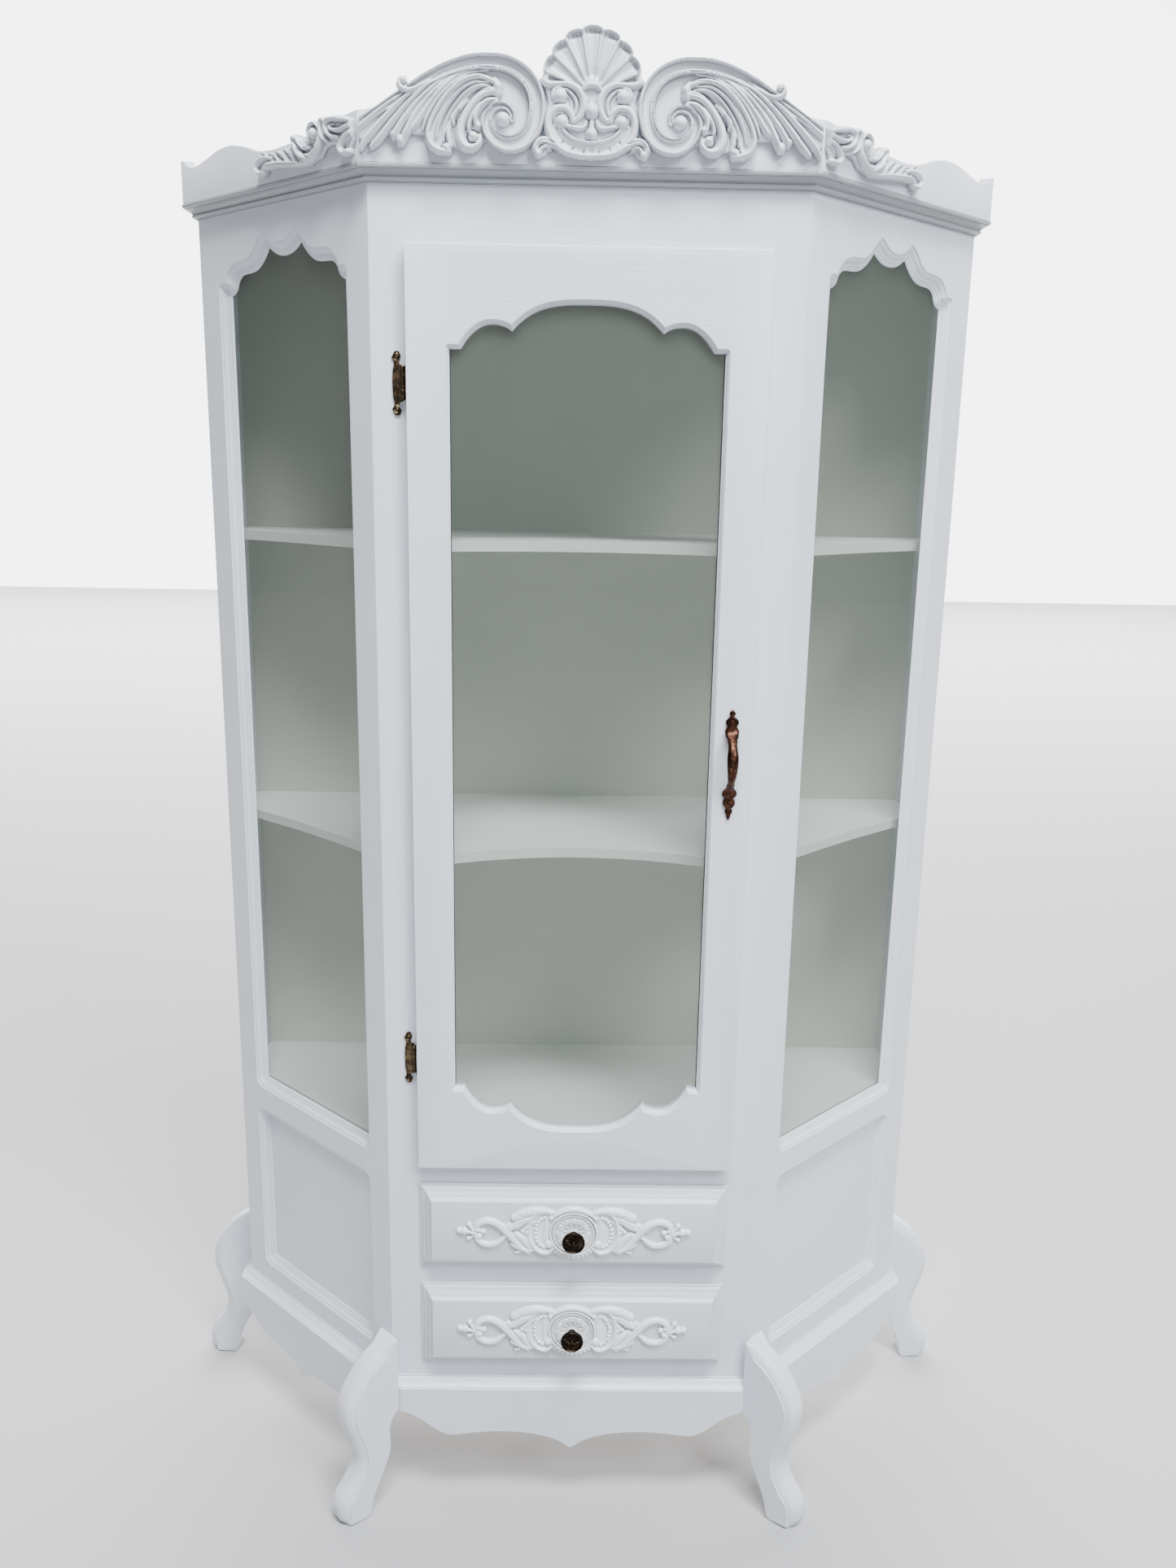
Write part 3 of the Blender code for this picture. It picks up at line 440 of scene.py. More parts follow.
def panel(outer, openings, profile, thick, place, arris=0.0):
    """Board with moulded openings. A profile lists (reach beyond the opening's edge, depth), from the face inwards."""
    verts, faces, face_loops, back_loops = [], [], [], []

    def link(one, depth_one, two, depth_two):
        start = len(verts)
        verts.extend(place(p[0], p[1], depth_one) for p in one)
        verts.extend(place(p[0], p[1], depth_two) for p in two)
        faces.extend(strip(start, len(one)))

    for outline in openings:
        rings = [(routed(outline, reach), depth) for reach, depth in profile] + [(routed(outline, 0.0), thick)]
        for one, two in zip(rings, rings[1:]):
            link(*one, *two)
        face_loops.append(tidy_loop(rings[0][0]))
        back_loops.append(tidy_loop(rings[-1][0]))
    edge = [(0.0, thick)]
    if arris:
        edge += [(arris * (1 - math.sin(a)), arris * (1 - math.cos(a))) for a in np.linspace(math.pi / 2, 0, 4)]
    else:
        edge += [(0.0, 0.0)]
    corners = ((1, 1), (-1, 1), (-1, -1), (1, -1))
    loops = [[(p[0] + sx * inset, p[1] + sz * inset) for p, (sx, sz) in zip(outer, corners)] for inset, depth in edge]
    for k in range(len(edge) - 1):
        link(loops[k], edge[k][1], loops[k + 1], edge[k + 1][1])
    flat_fill([loops[-1]] + face_loops, verts, faces, 0.0, place)
    flat_fill([loops[0]] + back_loops, verts, faces, thick, place)
    return verts, faces


def tidy_loop(points):
    """Drop repeated points from a loop."""
    out = []
    for p in points:
        if not out or abs(p[0] - out[-1][0]) + abs(p[1] - out[-1][1]) > 2e-6:
            out.append((float(p[0]), float(p[1])))
    if abs(out[0][0] - out[-1][0]) + abs(out[0][1] - out[-1][1]) < 2e-6:
        out.pop()
    return out


def sliced(verts, faces, planes):
    """The part of a solid on the kept side of each (point, direction) plane, closed again."""
    mesh = bpy.data.meshes.new("slice")
    mesh.from_pydata([tuple(v) for v in verts], [], faces)
    bm = bmesh.new()
    bm.from_mesh(mesh)
    bpy.data.meshes.remove(mesh)
    bmesh.ops.remove_doubles(bm, verts=bm.verts, dist=1e-5)
    bmesh.ops.recalc_face_normals(bm, faces=bm.faces)
    for point, way in planes:
        geom = list(bm.verts) + list(bm.edges) + list(bm.faces)
        bmesh.ops.bisect_plane(bm, geom=geom, dist=1e-7, plane_co=point, plane_no=way, clear_inner=True)
        rim = [e for e in bm.edges if e.is_boundary]
        if rim:
            bmesh.ops.holes_fill(bm, edges=rim, sides=0)
    bmesh.ops.dissolve_degenerate(bm, edges=bm.edges, dist=1e-6)
    bm.verts.index_update()
    out_v = [v.co.copy() for v in bm.verts]
    out_f = [tuple(v.index for v in f.verts) for f in bm.faces]
    bm.free()
    return out_v, out_f


def joined(*solids):
    verts, faces = [], []
    for more_verts, more_faces in solids:
        start = len(verts)
        verts.extend(more_verts)
        faces.extend(tuple(start + k for k in face) for face in more_faces)
    return verts, faces


def rounded(plan, radii, steps=5):
    """Plan outline with each corner rounded to its radius."""
    out = []
    for k, (p, radius) in enumerate(zip(plan, radii)):
        if not radius:
            out.append(Vector(p))
            continue
        before, after = (Vector(plan[k - 1]) - p).normalized(), (Vector(plan[(k + 1) % len(plan)]) - p).normalized()
        half = before.angle(after) / 2
        reach = radius / math.tan(half)
        a, b = p + before * reach, p + after * reach
        middle = p + (before + after).normalized() * (radius / math.sin(half))
        for j in range(steps + 1):
            t = j / steps
            q = a.lerp(b, t)
            out.append(middle + (q - middle).normalized() * radius)
    return out


def upright(plan, low, high):
    return tube([[(p[0], p[1], z) for p in plan] for z in (low, high)])


# ---------------------------------------------------------------- side frames
def mm(*rows):
    """Rows of numbers in millimetres, as metres."""
    return [tuple(v * MM for v in row) for row in rows]


def divided(points, parts):
    """Closed outline with each step cut into as many pieces as parts(length) says."""
    out = []
    for a, b in zip(points, points[1:] + points[:1]):
        count = max(1, parts(math.dist(a, b)))
        out += [(a[0] + (b[0] - a[0]) * k / count, a[1] + (b[1] - a[1]) * k / count) for k in range(count)]
    return out


# Moulding of the side openings, as (reach inwards from its outer line, depth)
MOULD = mm(
    (0.0, 0.0), (0.35, 1.3), (0.9, 1.7), (2.2, 2.0), (3.8, 2.9), (5.2, 4.6), (6.3, 6.1), (7.6, 6.9), (9.2, 7.2),
    (9.6, 8.2), (11.0, 8.5), (12.6, 9.3), (13.8, 10.4), (14.3, 11.4),
)
HEAD = mm(
    (0.0, 43.3), (7.0, 42.8), (14.0, 40.8), (20.0, 37.8), (25.5, 33.8), (29.5, 30.8), (32.3, 29.6), (34.0, 29.6),
    (36.2, 30.8), (40.0, 33.2), (44.5, 36.4), (49.0, 42.0), (54.5, 47.6), (61.0, 52.6), (68.0, 55.8),
    (77.0, 57.0), (88.0, 57.4), (98.0, 58.8), (106.5, 62.8), (113.0, 68.6), (117.5, 74.6), (119.4, 79.6),
)
EAR = mm((121.5, 80.8), (126.5, 80.2), (131.0, 80.8), (134.2, 83.6), (135.3, 88.5))
middle = CANT / 2
SIDE_SILL, PANEL_FOOT, PANEL_HEAD = 0.5284, 0.2290, 0.4945
HALF_WIDE, ROUND = 0.1355, 0.015
MARGIN = 0.036


def rounded_corner(way, z, start):
    """Quarter of a circle at a corner of a side opening; way is 1 at its rear side, and start is in degrees."""
    x = middle + way * HALF_WIDE - way * ROUND
    return [(x + ROUND * math.cos(a), z + ROUND * math.sin(a)) for a in np.radians(np.linspace(start, start + 90, 7))]


def on_side(u, z, depth):
    return spot(RIGHT, u, -depth, z)


head = [(middle + d, CASE_TOP - h) for d, h in line_through(HEAD, 2)] + [(middle + d, CASE_TOP - h) for d, h in EAR]
window = rounded_corner(1, SIDE_SILL + ROUND, -90) + head[::-1] + [(2 * middle - u, z) for u, z in head[1:]]
window += rounded_corner(-1, SIDE_SILL + ROUND, 180)
sunk = rounded_corner(1, PANEL_FOOT + ROUND, -90) + rounded_corner(1, PANEL_HEAD - ROUND, 0)
sunk += rounded_corner(-1, PANEL_HEAD - ROUND, 90) + rounded_corner(-1, PANEL_FOOT + ROUND, 180)
side_outer = [(MARGIN, CASE_BOTTOM), (CANT - MARGIN, CASE_BOTTOM), (CANT - MARGIN, CASE_TOP), (MARGIN, CASE_TOP)]
openings = [tidy_loop(divided(o, lambda d: int(d / 0.006) if d < 0.06 else 8)[::-1]) for o in (window, sunk)]
side = panel(side_outer, openings, MOULD, THICK, on_side)
along_side = (PLAN[4] - PLAN[3]).normalized().to_3d()
near_cut = spot(RIGHT, STILE, 0, 0), along_side
far_cut = spot(RIGHT, CANT - STILE, 0, 0), along_side


def flipped(plane):
    return plane[0], -plane[1]


def level(z, way=1):
    return Vector((0, 0, z)), Vector((0, 0, way))


soft = 0.0016
front_plan = [Vector((POST_IN, FRONT_Y)), PLAN[3], on_side(MARGIN, 0, 0).to_2d(), on_side(MARGIN, 0, THICK).to_2d()]
front_plan += [corner(3, -THICK), Vector((POST_IN, FRONT_Y + THICK))]
rear_plan = [on_side(CANT - MARGIN, 0, 0).to_2d(), PLAN[4], PLAN[5], corner(5, -THICK), corner(4, -THICK)]
rear_plan += [on_side(CANT - MARGIN, 0, THICK).to_2d()]
between = [near_cut, flipped(far_cut)]
side_pieces = []
for name, node, finish, plan, radii, planes in (
    ("front_post", "front_post", PAINT_UP, front_plan, (0, soft, 0, 0, 0, 0), [flipped(near_cut)]),
    ("rear_post", "rear_post", PAINT_UP, rear_plan, (0, soft, soft, 0, 0, 0), [far_cut]),
    ("side_head", "side_head_rail", PAINT_ALONG, None, None, between + [level(0.9)]),
    ("side_waist", "side_middle_rail", PAINT_ALONG, None, None, between + [level(0.40), level(0.80, -1)]),
    ("side_foot", "side_bottom_rail", PAINT_ALONG, None, None, between + [level(0.35, -1)]),
):
    solid = sliced(*side, planes)
    if plan:
        solid = joined(upright(rounded(plan, radii), CASE_BOTTOM, CASE_TOP), solid)
    side_pieces.append((name, solid, finish, node))
for mirror, hand in HANDS:
    for name, solid, finish, node in side_pieces:
        painted(f"{name}_{hand}", solid, finish, f"{node}_{hand}", mirror=mirror)

# ---------------------------------------------------------------- front frame
for name in ("front_top_rail", "front_middle_rail", "front_drawer_rail", "front_bottom_rail"):
    low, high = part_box(name)
    plan = [(-POST_IN, low.y), (POST_IN, low.y), (POST_IN, high.y), (-POST_IN, high.y)]
    painted(name.replace("rail", "board"), upright(plan, low.z, high.z), PAINT_ALONG, name)

# ---------------------------------------------------------------- door
DOOR_HEAD = mm(
    (0.0, 0.0), (18.0, 0.3), (34.0, 1.7), (48.0, 4.6), (60.0, 9.2), (70.0, 15.2), (78.0, 21.6), (86.1, 29.8),
)
SMALL_ARCH = mm(
    (86.1, 29.8), (91.5, 26.2), (98.0, 23.8), (105.0, 22.7), (112.0, 22.8), (119.0, 24.7), (126.0, 28.7),
    (133.0, 34.7), (139.0, 41.8), (144.5, 50.0),
)
DOOR_MOULD = mm((4.6, 0.0), (4.3, 0.9), (3.5, 1.3), (2.6, 2.3), (2.0, 3.8), (1.2, 5.2), (0.0, 6.0))
GLASS_EDGE, CROWN, KEEL = 0.157, 1.6085, 0.588
door_low, door_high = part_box("door_stile_left")[0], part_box("door_stile_right")[1]
arches = list(line_through(DOOR_HEAD, 3)[:-1]) + list(line_through(SMALL_ARCH, 3))
upper = [(x, CROWN - d) for x, d in arches] + [(GLASS_EDGE, CROWN - 0.050)]
lower = [(x, KEEL + d * 1.15) for x, d in arches] + [(GLASS_EDGE, KEEL + 0.0575)]
window = lower[1:] + upper[::-1] + [(-x, z) for x, z in upper[1:]] + [(-x, z) for x, z in lower[::-1]]


def on_door(u, z, depth):
    return Vector((u, door_low.y + depth, z))


outer = [(door_low.x, door_low.z), (door_high.x, door_low.z), (door_high.x, door_high.z), (door_low.x, door_high.z)]
window = tidy_loop(divided(window, lambda d: round(d / 0.05)))
door = panel(outer, [window], DOOR_MOULD, door_high.y - door_low.y, on_door, 0.0014)
right_cut, left_cut = ((Vector((x, 0, 0)), Vector((1, 0, 0))) for x in (GLASS_EDGE, -GLASS_EDGE))
for name, planes, finish in (
    ("door_stile_right", [right_cut], PAINT_UP), ("door_stile_left", [flipped(left_cut)], PAINT_UP),
    ("door_top_rail", [flipped(right_cut), left_cut, level(1.1)], PAINT_ALONG),
    ("door_bottom_rail", [flipped(right_cut), left_cut, level(1.1, -1)], PAINT_ALONG),
):
    made = name.replace("stile", "upright").replace("rail", "board")
    painted(made, sliced(*door, planes), finish, name, body="door")

# ---------------------------------------------------------------- drawer fronts
DRAWER_STEPS = mm(
    (0.0, 0.0), (0.0, 2.6), (0.5, 3.2), (1.6, 3.4), (2.6, 3.5), (2.9, 4.6), (3.6, 6.2), (4.8, 7.2), (6.2, 7.5),
    (6.5, 8.3), (7.6, 8.8), (8.7, 9.6), (9.4, 11.0), (9.7, 12.4), (10.6, 13.0), (12.0, 13.7), (13.6, 15.2),
    (14.9, 17.2), (15.8, 19.0), (16.4, 19.7), (17.2, 20.0),
)
for name in ("drawer_upper", "drawer_lower"):
    low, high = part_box(f"{name}_front")
    rings = []
    for inset, proud in DRAWER_STEPS:
        a, b, c, d, y = low.x + inset, high.x - inset, low.z + inset, high.z - inset, high.y - proud
        rings.append([(a, y, c), (b, y, c), (b, y, d), (a, y, d)])
    painted(f"{name}_panel", tube(rings), SHADED_FIELD_PAINT, f"{name}_front", body=name, sharp=24)


# ---------------------------------------------------------------- cornice
CORNICE = mm(
    (2.0, 0.0), (2.2, 0.8), (3.4, 1.4), (5.2, 1.5), (6.6, 2.2), (7.2, 3.4), (6.9, 4.6), (6.1, 5.2), (6.1, 5.9),
    (6.6, 7.4), (7.8, 9.0), (9.8, 10.3), (12.2, 11.0), (14.4, 11.2), (14.4, 11.9), (16.0, 12.2), (17.3, 12.9),
    (17.7, 14.0), (17.7, 15.9), (17.3, 16.7), (16.5, 17.0),
)
base_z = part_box("top_board")[0].z
rings = [[(*corner(k, offset), base_z + rise) for k in range(6)] for offset, rise in CORNICE]
painted("cornice", tube(rings), SHADED_CORNICE_PAINT, "top_board", sharp=24)

# ---------------------------------------------------------------- crest boards
CREST_THICK = 0.0165
FRONT_CREST = [
    (0.0, 112), (0.10, 108), (0.20, 92), (0.26, 84), (0.36, 98), (0.46, 102), (0.58, 96), (0.72, 80), (0.86, 64),
    (0.94, 56), (1.0, 52),
]
SIDE_CREST = [
    (0.0, 52), (0.10, 48), (0.25, 40), (0.40, 36), (0.48, 36.4), (0.535, 39.0), (0.60, 46.4), (0.66, 51.4),
    (0.71, 53.4), (0.78, 51.6), (0.86, 45.0), (0.92, 40.9), (0.955, 40.6), (0.985, 45.0), (1.0, 51.5),
]


def crest_board(segment, marks, length):
    """Upright board whose top follows the marks, with its two top edges rounded."""
    t, small, wide = CREST_THICK, 0.0006, 0.0022
    rings = []
    for share, high in line_through(marks, 4):
        x, top = min(max(share, 0), 1) * length, CREST_LOW + high * MM
        ring = [(0, CREST_LOW), (t, CREST_LOW), (t, top - wide), (t - small, top - small), (t - wide, top),
            (wide, top)]
        ring += [(small, top - small), (0, top - wide)]
        rings.append([mitred(segment, x, o, z) for o, z in ring])
    return tube(rings)


both = [((1 - a) / 2, h) for a, h in reversed(FRONT_CREST)] + [((1 + a) / 2, h) for a, h in FRONT_CREST[1:]]
painted("crest_front", crest_board(FRONT, both, 2 * FRONT_HALF), PAINT_ALONG, "crest_board_front")
for mirror, hand in HANDS:
    solid = crest_board(RIGHT, SIDE_CREST, CANT)
    painted(f"crest_{hand}", solid, PAINT_ALONG, f"crest_board_{hand}", mirror=mirror)

# ---------------------------------------------------------------- aprons
APRON_TOP, APRON_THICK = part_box("apron_front")[1].z, 0.015
FRONT_APRON = [
    (0.0, 93.7), (0.025, 97.6), (0.06, 103.6), (0.12, 110.2), (0.21, 116.0), (0.33, 119.4), (0.46, 119.2),
    (0.57, 116.6), (0.64, 114.0), (0.69, 113.8), (0.73, 117.0), (0.78, 125.0), (0.84, 136.5), (0.90, 146.0),
    (0.95, 150.8), (1.0, 152.6),
]
SIDE_APRON = [
    (0.0, 150.0), (0.05, 147.5), (0.10, 142.0), (0.16, 130.5), (0.22, 118.5), (0.26, 114.5), (0.33, 113.2),
    (0.42, 111.0), (0.48, 107.6), (0.525, 101.5), (0.565, 90.0), (0.605, 101.5), (0.65, 107.6), (0.72, 111.4),
    (0.80, 114.0), (0.85, 116.0), (0.885, 121.5), (0.92, 129.5), (0.96, 136.5), (1.0, 140.0),
]


ROUTED = [
    (1.6, 0.0), (2.0, 0.7), (2.1, 2.6), (3.2, 3.0), (4.6, 4.2), (6.6, 6.8), (9.2, 9.6), (11.6, 11.2), (12.9, 11.9),
    (13.2, 13.0), (13.9, 13.3), (15.0, 13.7),
]
END_CUT = mm((0.0, 12.8), (0.5, 12.4), (1.0, 9.8), (3.0, 6.0), (6.2, 2.9), (8.8, 1.5), (9.6, 1.1), (9.9, 0.0))
END_LONG = 0.0105


def apron_section(z, inset=0.0):
    """Routed top edge with a cove and fillets; inset carries the same cut down the ends."""
    t, top = APRON_THICK - inset, APRON_TOP
    face = [(min(o * MM, t), min(top - d * MM, top)) for o, d in ROUTED]
    return [(0.0003, z), (t - 0.0004, z), (t, z + 0.0004)] + face[::-1] + [(0.0003, top)]


def height_at(line, x):
    return float(np.interp(x, [p[0] for p in line], [p[1] for p in line]))


end = FRONT_HALF - 0.0025
points = line_through([(a * end, h * MM) for a, h in FRONT_APRON], 3)
points = [(-x, z) for x, z in points[:0:-1]] + [tuple(p) for p in points]
stations = [(-end + d, height_at(points, -end + d), inset) for d, inset in END_CUT]
stations += [(x, z, 0.0) for x, z in points if abs(x) < end - END_LONG]
stations += [(end - d, height_at(points, end - d), inset) for d, inset in reversed(END_CUT)]
rings = [[(x, FRONT_Y - o, h) for o, h in apron_section(z, inset)] for x, z, inset in stations]
painted("apron_front_board", tube(rings), PAINT_ALONG, "apron_front", sharp=24)

points = line_through([(a * CANT, h * MM) for a, h in SIDE_APRON], 3)
start = 0.003
stations = [(start + d, height_at(points, start + d), inset) for d, inset in END_CUT]
stations += [(u, z, 0.0) for u, z in points if start + END_LONG < u < CANT - 0.001]
stations.append((CANT, 0.140, 0.0))
rings = [[mitred(RIGHT, u, o, h) for o, h in apron_section(z, inset)] for u, z, inset in stations]
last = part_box("apron_right")[1].y - PLAN[4].y
for share in (0.3, 0.6, 1.0):
    rings.append([spot(RETURN, last * share, o, h) for o, h in apron_section(0.140 + 0.010 * share)])
for mirror, hand in HANDS:
    painted(f"apron_{hand}_board", tube(rings), PAINT_ALONG, f"apron_{hand}", sharp=24, mirror=mirror)

# ---------------------------------------------------------------- legs
LEG_THICK, LEG_ANGLE, LEG_SHIFT = 0.040, math.radians(52), 0.006
REAR_LEG_Y, SMALLEST = BACK_Y - 0.030, 0.0041
# Outer contour of a leg from its top to the toe, then the inner contour back up
LEG_OUT = mm(
    (-6.0, 262.0), (2.0, 262.0), (18.0, 254.5), (36.0, 244.2), (54.0, 228.5), (68.5, 208.5), (77.0, 190.0),
    (79.6, 174.0), (77.6, 154.0), (71.2, 131.0), (64.4, 109.0), (61.8, 91.0), (66.2, 72.0), (76.8, 56.0),
    (87.0, 43.0), (91.8, 30.0), (91.6, 15.0), (87.5, 5.0), (79.0, 0.6),
)
LEG_IN = mm(
    (52.0, 0.6), (46.8, 4.2), (44.6, 14.0), (42.0, 26.0), (37.5, 38.0), (29.0, 56.0), (19.5, 75.0), (14.0, 94.0),
    (13.6, 110.0), (14.6, 124.0), (10.5, 139.0), (2.0, 149.5),
)
outer_line = [tuple(p) for p in line_through(LEG_OUT, 4) if p[0] >= 0.0004]
inner_line = [tuple(p) for p in line_through(LEG_IN, 3)]
outline = tidy_loop([(0.0004, 0.262)] + outer_line + inner_line + [(0.0004, 0.1497)])
# Inset from the contour and depth from the cheek's face
CHEEK = mm((13.0, 0.0), (12.4, 1.6), (11.2, 2.0), (8.6, 2.8), (5.8, 4.6), (3.4, 7.0), (1.6, 9.8), (0.5, 12.6),
    (0.0, 15.5))


def leg(foot, way):
    """Sawn leg with a moulded cheek on each side and two fine grooves down its rounded front."""
    across = Vector((-way.y, way.x))
    pts = np.array(outline)
    ahead = np.roll(pts, -1, axis=0) - np.roll(pts, 1, axis=0)
    ahead /= np.linalg.norm(ahead, axis=1)[:, None]
    inward = np.stack([ahead[:, 1], -ahead[:, 0]], 1)
    share, flute = np.full(len(pts), 0.10), np.zeros(len(pts))
    share[[0, 1, -1]] = 0.0
    front = len(outer_line) + 1
    for k in range(2, front):
        share[k] = min(1.0, (k - 1) / 5, (front - k) / 4)
        flute[k] = max(0.0, 1 - abs((pts[k, 1] - 0.026) / 0.028) ** 3)

    def ring(insets, offsets):
        made = []
        for q, offset in zip(pts + inward * insets[:, None], offsets):
            plan = foot + way * q[0] + across * offset
            made.append(Vector((plan.x, plan.y, max(q[1], 0.0002))))
        return made

    half = LEG_THICK / 2
    left = [ring(inset * share, np.minimum(depth * share, half - SMALLEST) - half) for inset, depth in CHEEK]
    right = [ring(inset * share, half - np.minimum(depth * share, half - SMALLEST)) for inset, depth in CHEEK]
    middle = []
    for offset in np.linspace(-0.0042, 0.0042, 13)[1:-1]:
        groove = 0.0011 * math.cos(math.pi * offset / 0.0028) ** 2
        middle.append(ring((0.0012 - groove) * flute, np.full(len(pts), offset)))
    return tube(left + middle + right[::-1])


way = Vector((math.sin(LEG_ANGLE), -math.cos(LEG_ANGLE)))
front_leg = leg(PLAN[3] + Vector((-way.y, way.x)) * LEG_SHIFT, way)
rear_leg = leg(Vector((SIDE_HALF, REAR_LEG_Y)), Vector((1, 0)))
for mirror, hand in HANDS:
    painted(f"front_leg_{hand}", front_leg, PAINT_UP, f"leg_front_{hand}", mirror=mirror, sharp=32)
    painted(f"rear_leg_{hand}", rear_leg, PAINT_UP, f"leg_rear_{hand}", mirror=mirror, sharp=32)

# ---------------------------------------------------------------- carving
def off_line(X, Z, a, b):
    """For each spot, its share of the way from a to b and its offset from that line."""
    d = b - a
    t = np.clip(((X - a[0]) * d[0] + (Z - a[1]) * d[1]) / max(float(d @ d), 1e-9), 0, 1)
    return t, X - a[0] - t * d[0], Z - a[1] - t * d[1]


def dome(u):
    return np.sqrt(np.clip(1 - u * u, 0, 1))


class Carving:
    """A carved ornament as heights over its own ground, in millimetres; strokes pile up and the highest shows."""

    def __init__(self, low, high, step=0.8):
        self.step = step
        self.x = np.arange(low[0], high[0] + step / 2, step)
        self.z = np.arange(low[1], high[1] + step / 2, step)
        self.X, self.Z = np.meshgrid(self.x, self.z)
        self.H = np.full(self.X.shape, -1.0)

    def window(self, low_x, high_x, low_z, high_z):
        i = np.searchsorted(self.x, (low_x, high_x))
        j = np.searchsorted(self.z, (low_z, high_z))
        return slice(max(j[0] - 1, 0), j[1] + 1), slice(max(i[0] - 1, 0), i[1] + 1)

    def stroke(self, points, widths, heights, section="bead", steps=6):
        """Draw along a smooth line. Widths and heights are spread evenly over its control points."""
        line = line_through(points, steps)
        marks = np.linspace(0, 1, len(line))
        wide = np.interp(marks, np.linspace(0, 1, len(widths)), widths) / 2
        tall = np.interp(marks, np.linspace(0, 1, len(heights)), heights)
        low, high = line.min(0) - wide.max() - self.step, line.max(0) + wide.max() + self.step
        part = self.window(low[0], high[0], low[1], high[1])
        X, Z = self.X[part], self.Z[part]
        best, side, top = np.full(X.shape, 9.0), np.zeros(X.shape), np.zeros(X.shape)
        for k in range(len(line) - 1):
            t, ox, oz = off_line(X, Z, line[k], line[k + 1])
            d = line[k + 1] - line[k]
            u = np.hypot(ox, oz) / np.maximum(wide[k] + (wide[k + 1] - wide[k]) * t, 0.05)
            hit = u < best
            best = np.where(hit, u, best)
            side = np.where(hit, np.sign(d[0] * oz - d[1] * ox) * u, side)
            top = np.where(hit, tall[k] + (tall[k + 1] - tall[k]) * t, top)
        made = np.where(best < 1, top * SECTIONS[section](np.clip(best, 0, 1), side), -1.0)
        self.H[part] = np.maximum(self.H[part], made)
        return self

    def ball(self, x, z, radius, height, squash=1.0):
        part = self.window(x - radius, x + radius, z - radius, z + radius)
        u = np.hypot(self.X[part] - x, (self.Z[part] - z) / squash) / radius
        self.H[part] = np.maximum(self.H[part], np.where(u < 1, height * dome(u), -1.0))
        return self

    def plate(self, points, height, edge):
        """A flat raised area with rounded edges."""
        line = line_through(list(points) + [points[0]], 5)[:-1]
        inside = np.zeros(self.X.shape, bool)
        for a, b in zip(line, np.roll(line, -1, axis=0)):
            if a[1] == b[1]:
                continue
            crosses = (self.Z < a[1]) != (self.Z < b[1])
            inside ^= crosses & (self.X < a[0] + (self.Z - a[1]) / (b[1] - a[1]) * (b[0] - a[0]))
        away = nearest(np.stack([self.X[inside], self.Z[inside]], 1), line)
        rise = np.sqrt(1 - (1 - np.clip(away / edge, 0, 1)) ** 2)
        self.H[inside] = np.maximum(self.H[inside], height * rise)
        return self

    def groove(self, points, width, depth):
        """Cut a rounded line into what is there."""
        line = line_through(points, 6)
        away = np.full(self.X.shape, 9e9)
        for a, b in zip(line, line[1:]):
            away = np.minimum(away, np.hypot(*off_line(self.X, self.Z, a, b)[1:]))
        u = np.clip(away / (width / 2), 0, 1)
        self.H = np.where(self.H > 0, np.maximum(self.H - depth * dome(u), 0.15), self.H)
        return self

    def soften(self):
        """Round the carving slightly, as thick paint does, without moving its outline."""
        solid = self.H > 0
        full = np.where(solid, self.H, 0.0)
        total, count = full * 4.0, solid * 4.0
        for axis in (0, 1):
            for shift in (-1, 1):
                total = total + np.roll(full, shift, axis) * 2
                count = count + np.roll(solid, shift, axis) * 2.0
        self.H = np.where(solid, total / np.maximum(count, 1), self.H)
        return self

    def solid(self, skirt, place):
        """Closed solid: the carved top, an upright skirt and a flat back. place(x, z, height) gives the spot."""
        H = np.maximum(self.H, -0.6)
        near = np.maximum(self.H, 0)
        for _ in range(3):
            near = (near + np.roll(near, 1, 0) + np.roll(near, -1, 0) + np.roll(near, 1, 1) + np.roll(near, -1,
                1)) / 5
        rows, cols = H.shape
        ids = np.arange(rows * cols).reshape(rows, cols)
        a, b, c, d = ids[:-1, :-1].ravel(), ids[:-1, 1:].ravel(), ids[1:, 1:].ravel(), ids[1:, :-1].ravel()
        tris = np.concatenate([np.stack([a, b, c], 1), np.stack([a, c, d], 1)])
        flat_h, flat_x, flat_z = H.ravel(), self.X.ravel(), self.Z.ravel()
        up = flat_h > 0
        spare = {}
        points_x, points_z, points_h = list(flat_x), list(flat_z), list(np.maximum(flat_h, 0))
        # How far each point lies below its blurred surroundings, kept for painted shade in the crevices; points on the
        # outline get 0.6.
        shade = list(np.clip((near - np.maximum(self.H, 0)) / 0.9, 0, 1).ravel())

        def edge(i, j):
            key = (i, j) if i < j else (j, i)
            if key not in spare:
                t = flat_h[i] / (flat_h[i] - flat_h[j])
                spare[key] = len(points_x)
                points_x.append(flat_x[i] + (flat_x[j] - flat_x[i]) * t)
                points_z.append(flat_z[i] + (flat_z[j] - flat_z[i]) * t)
                points_h.append(0.0)
                shade.append(0.6)
            return spare[key]

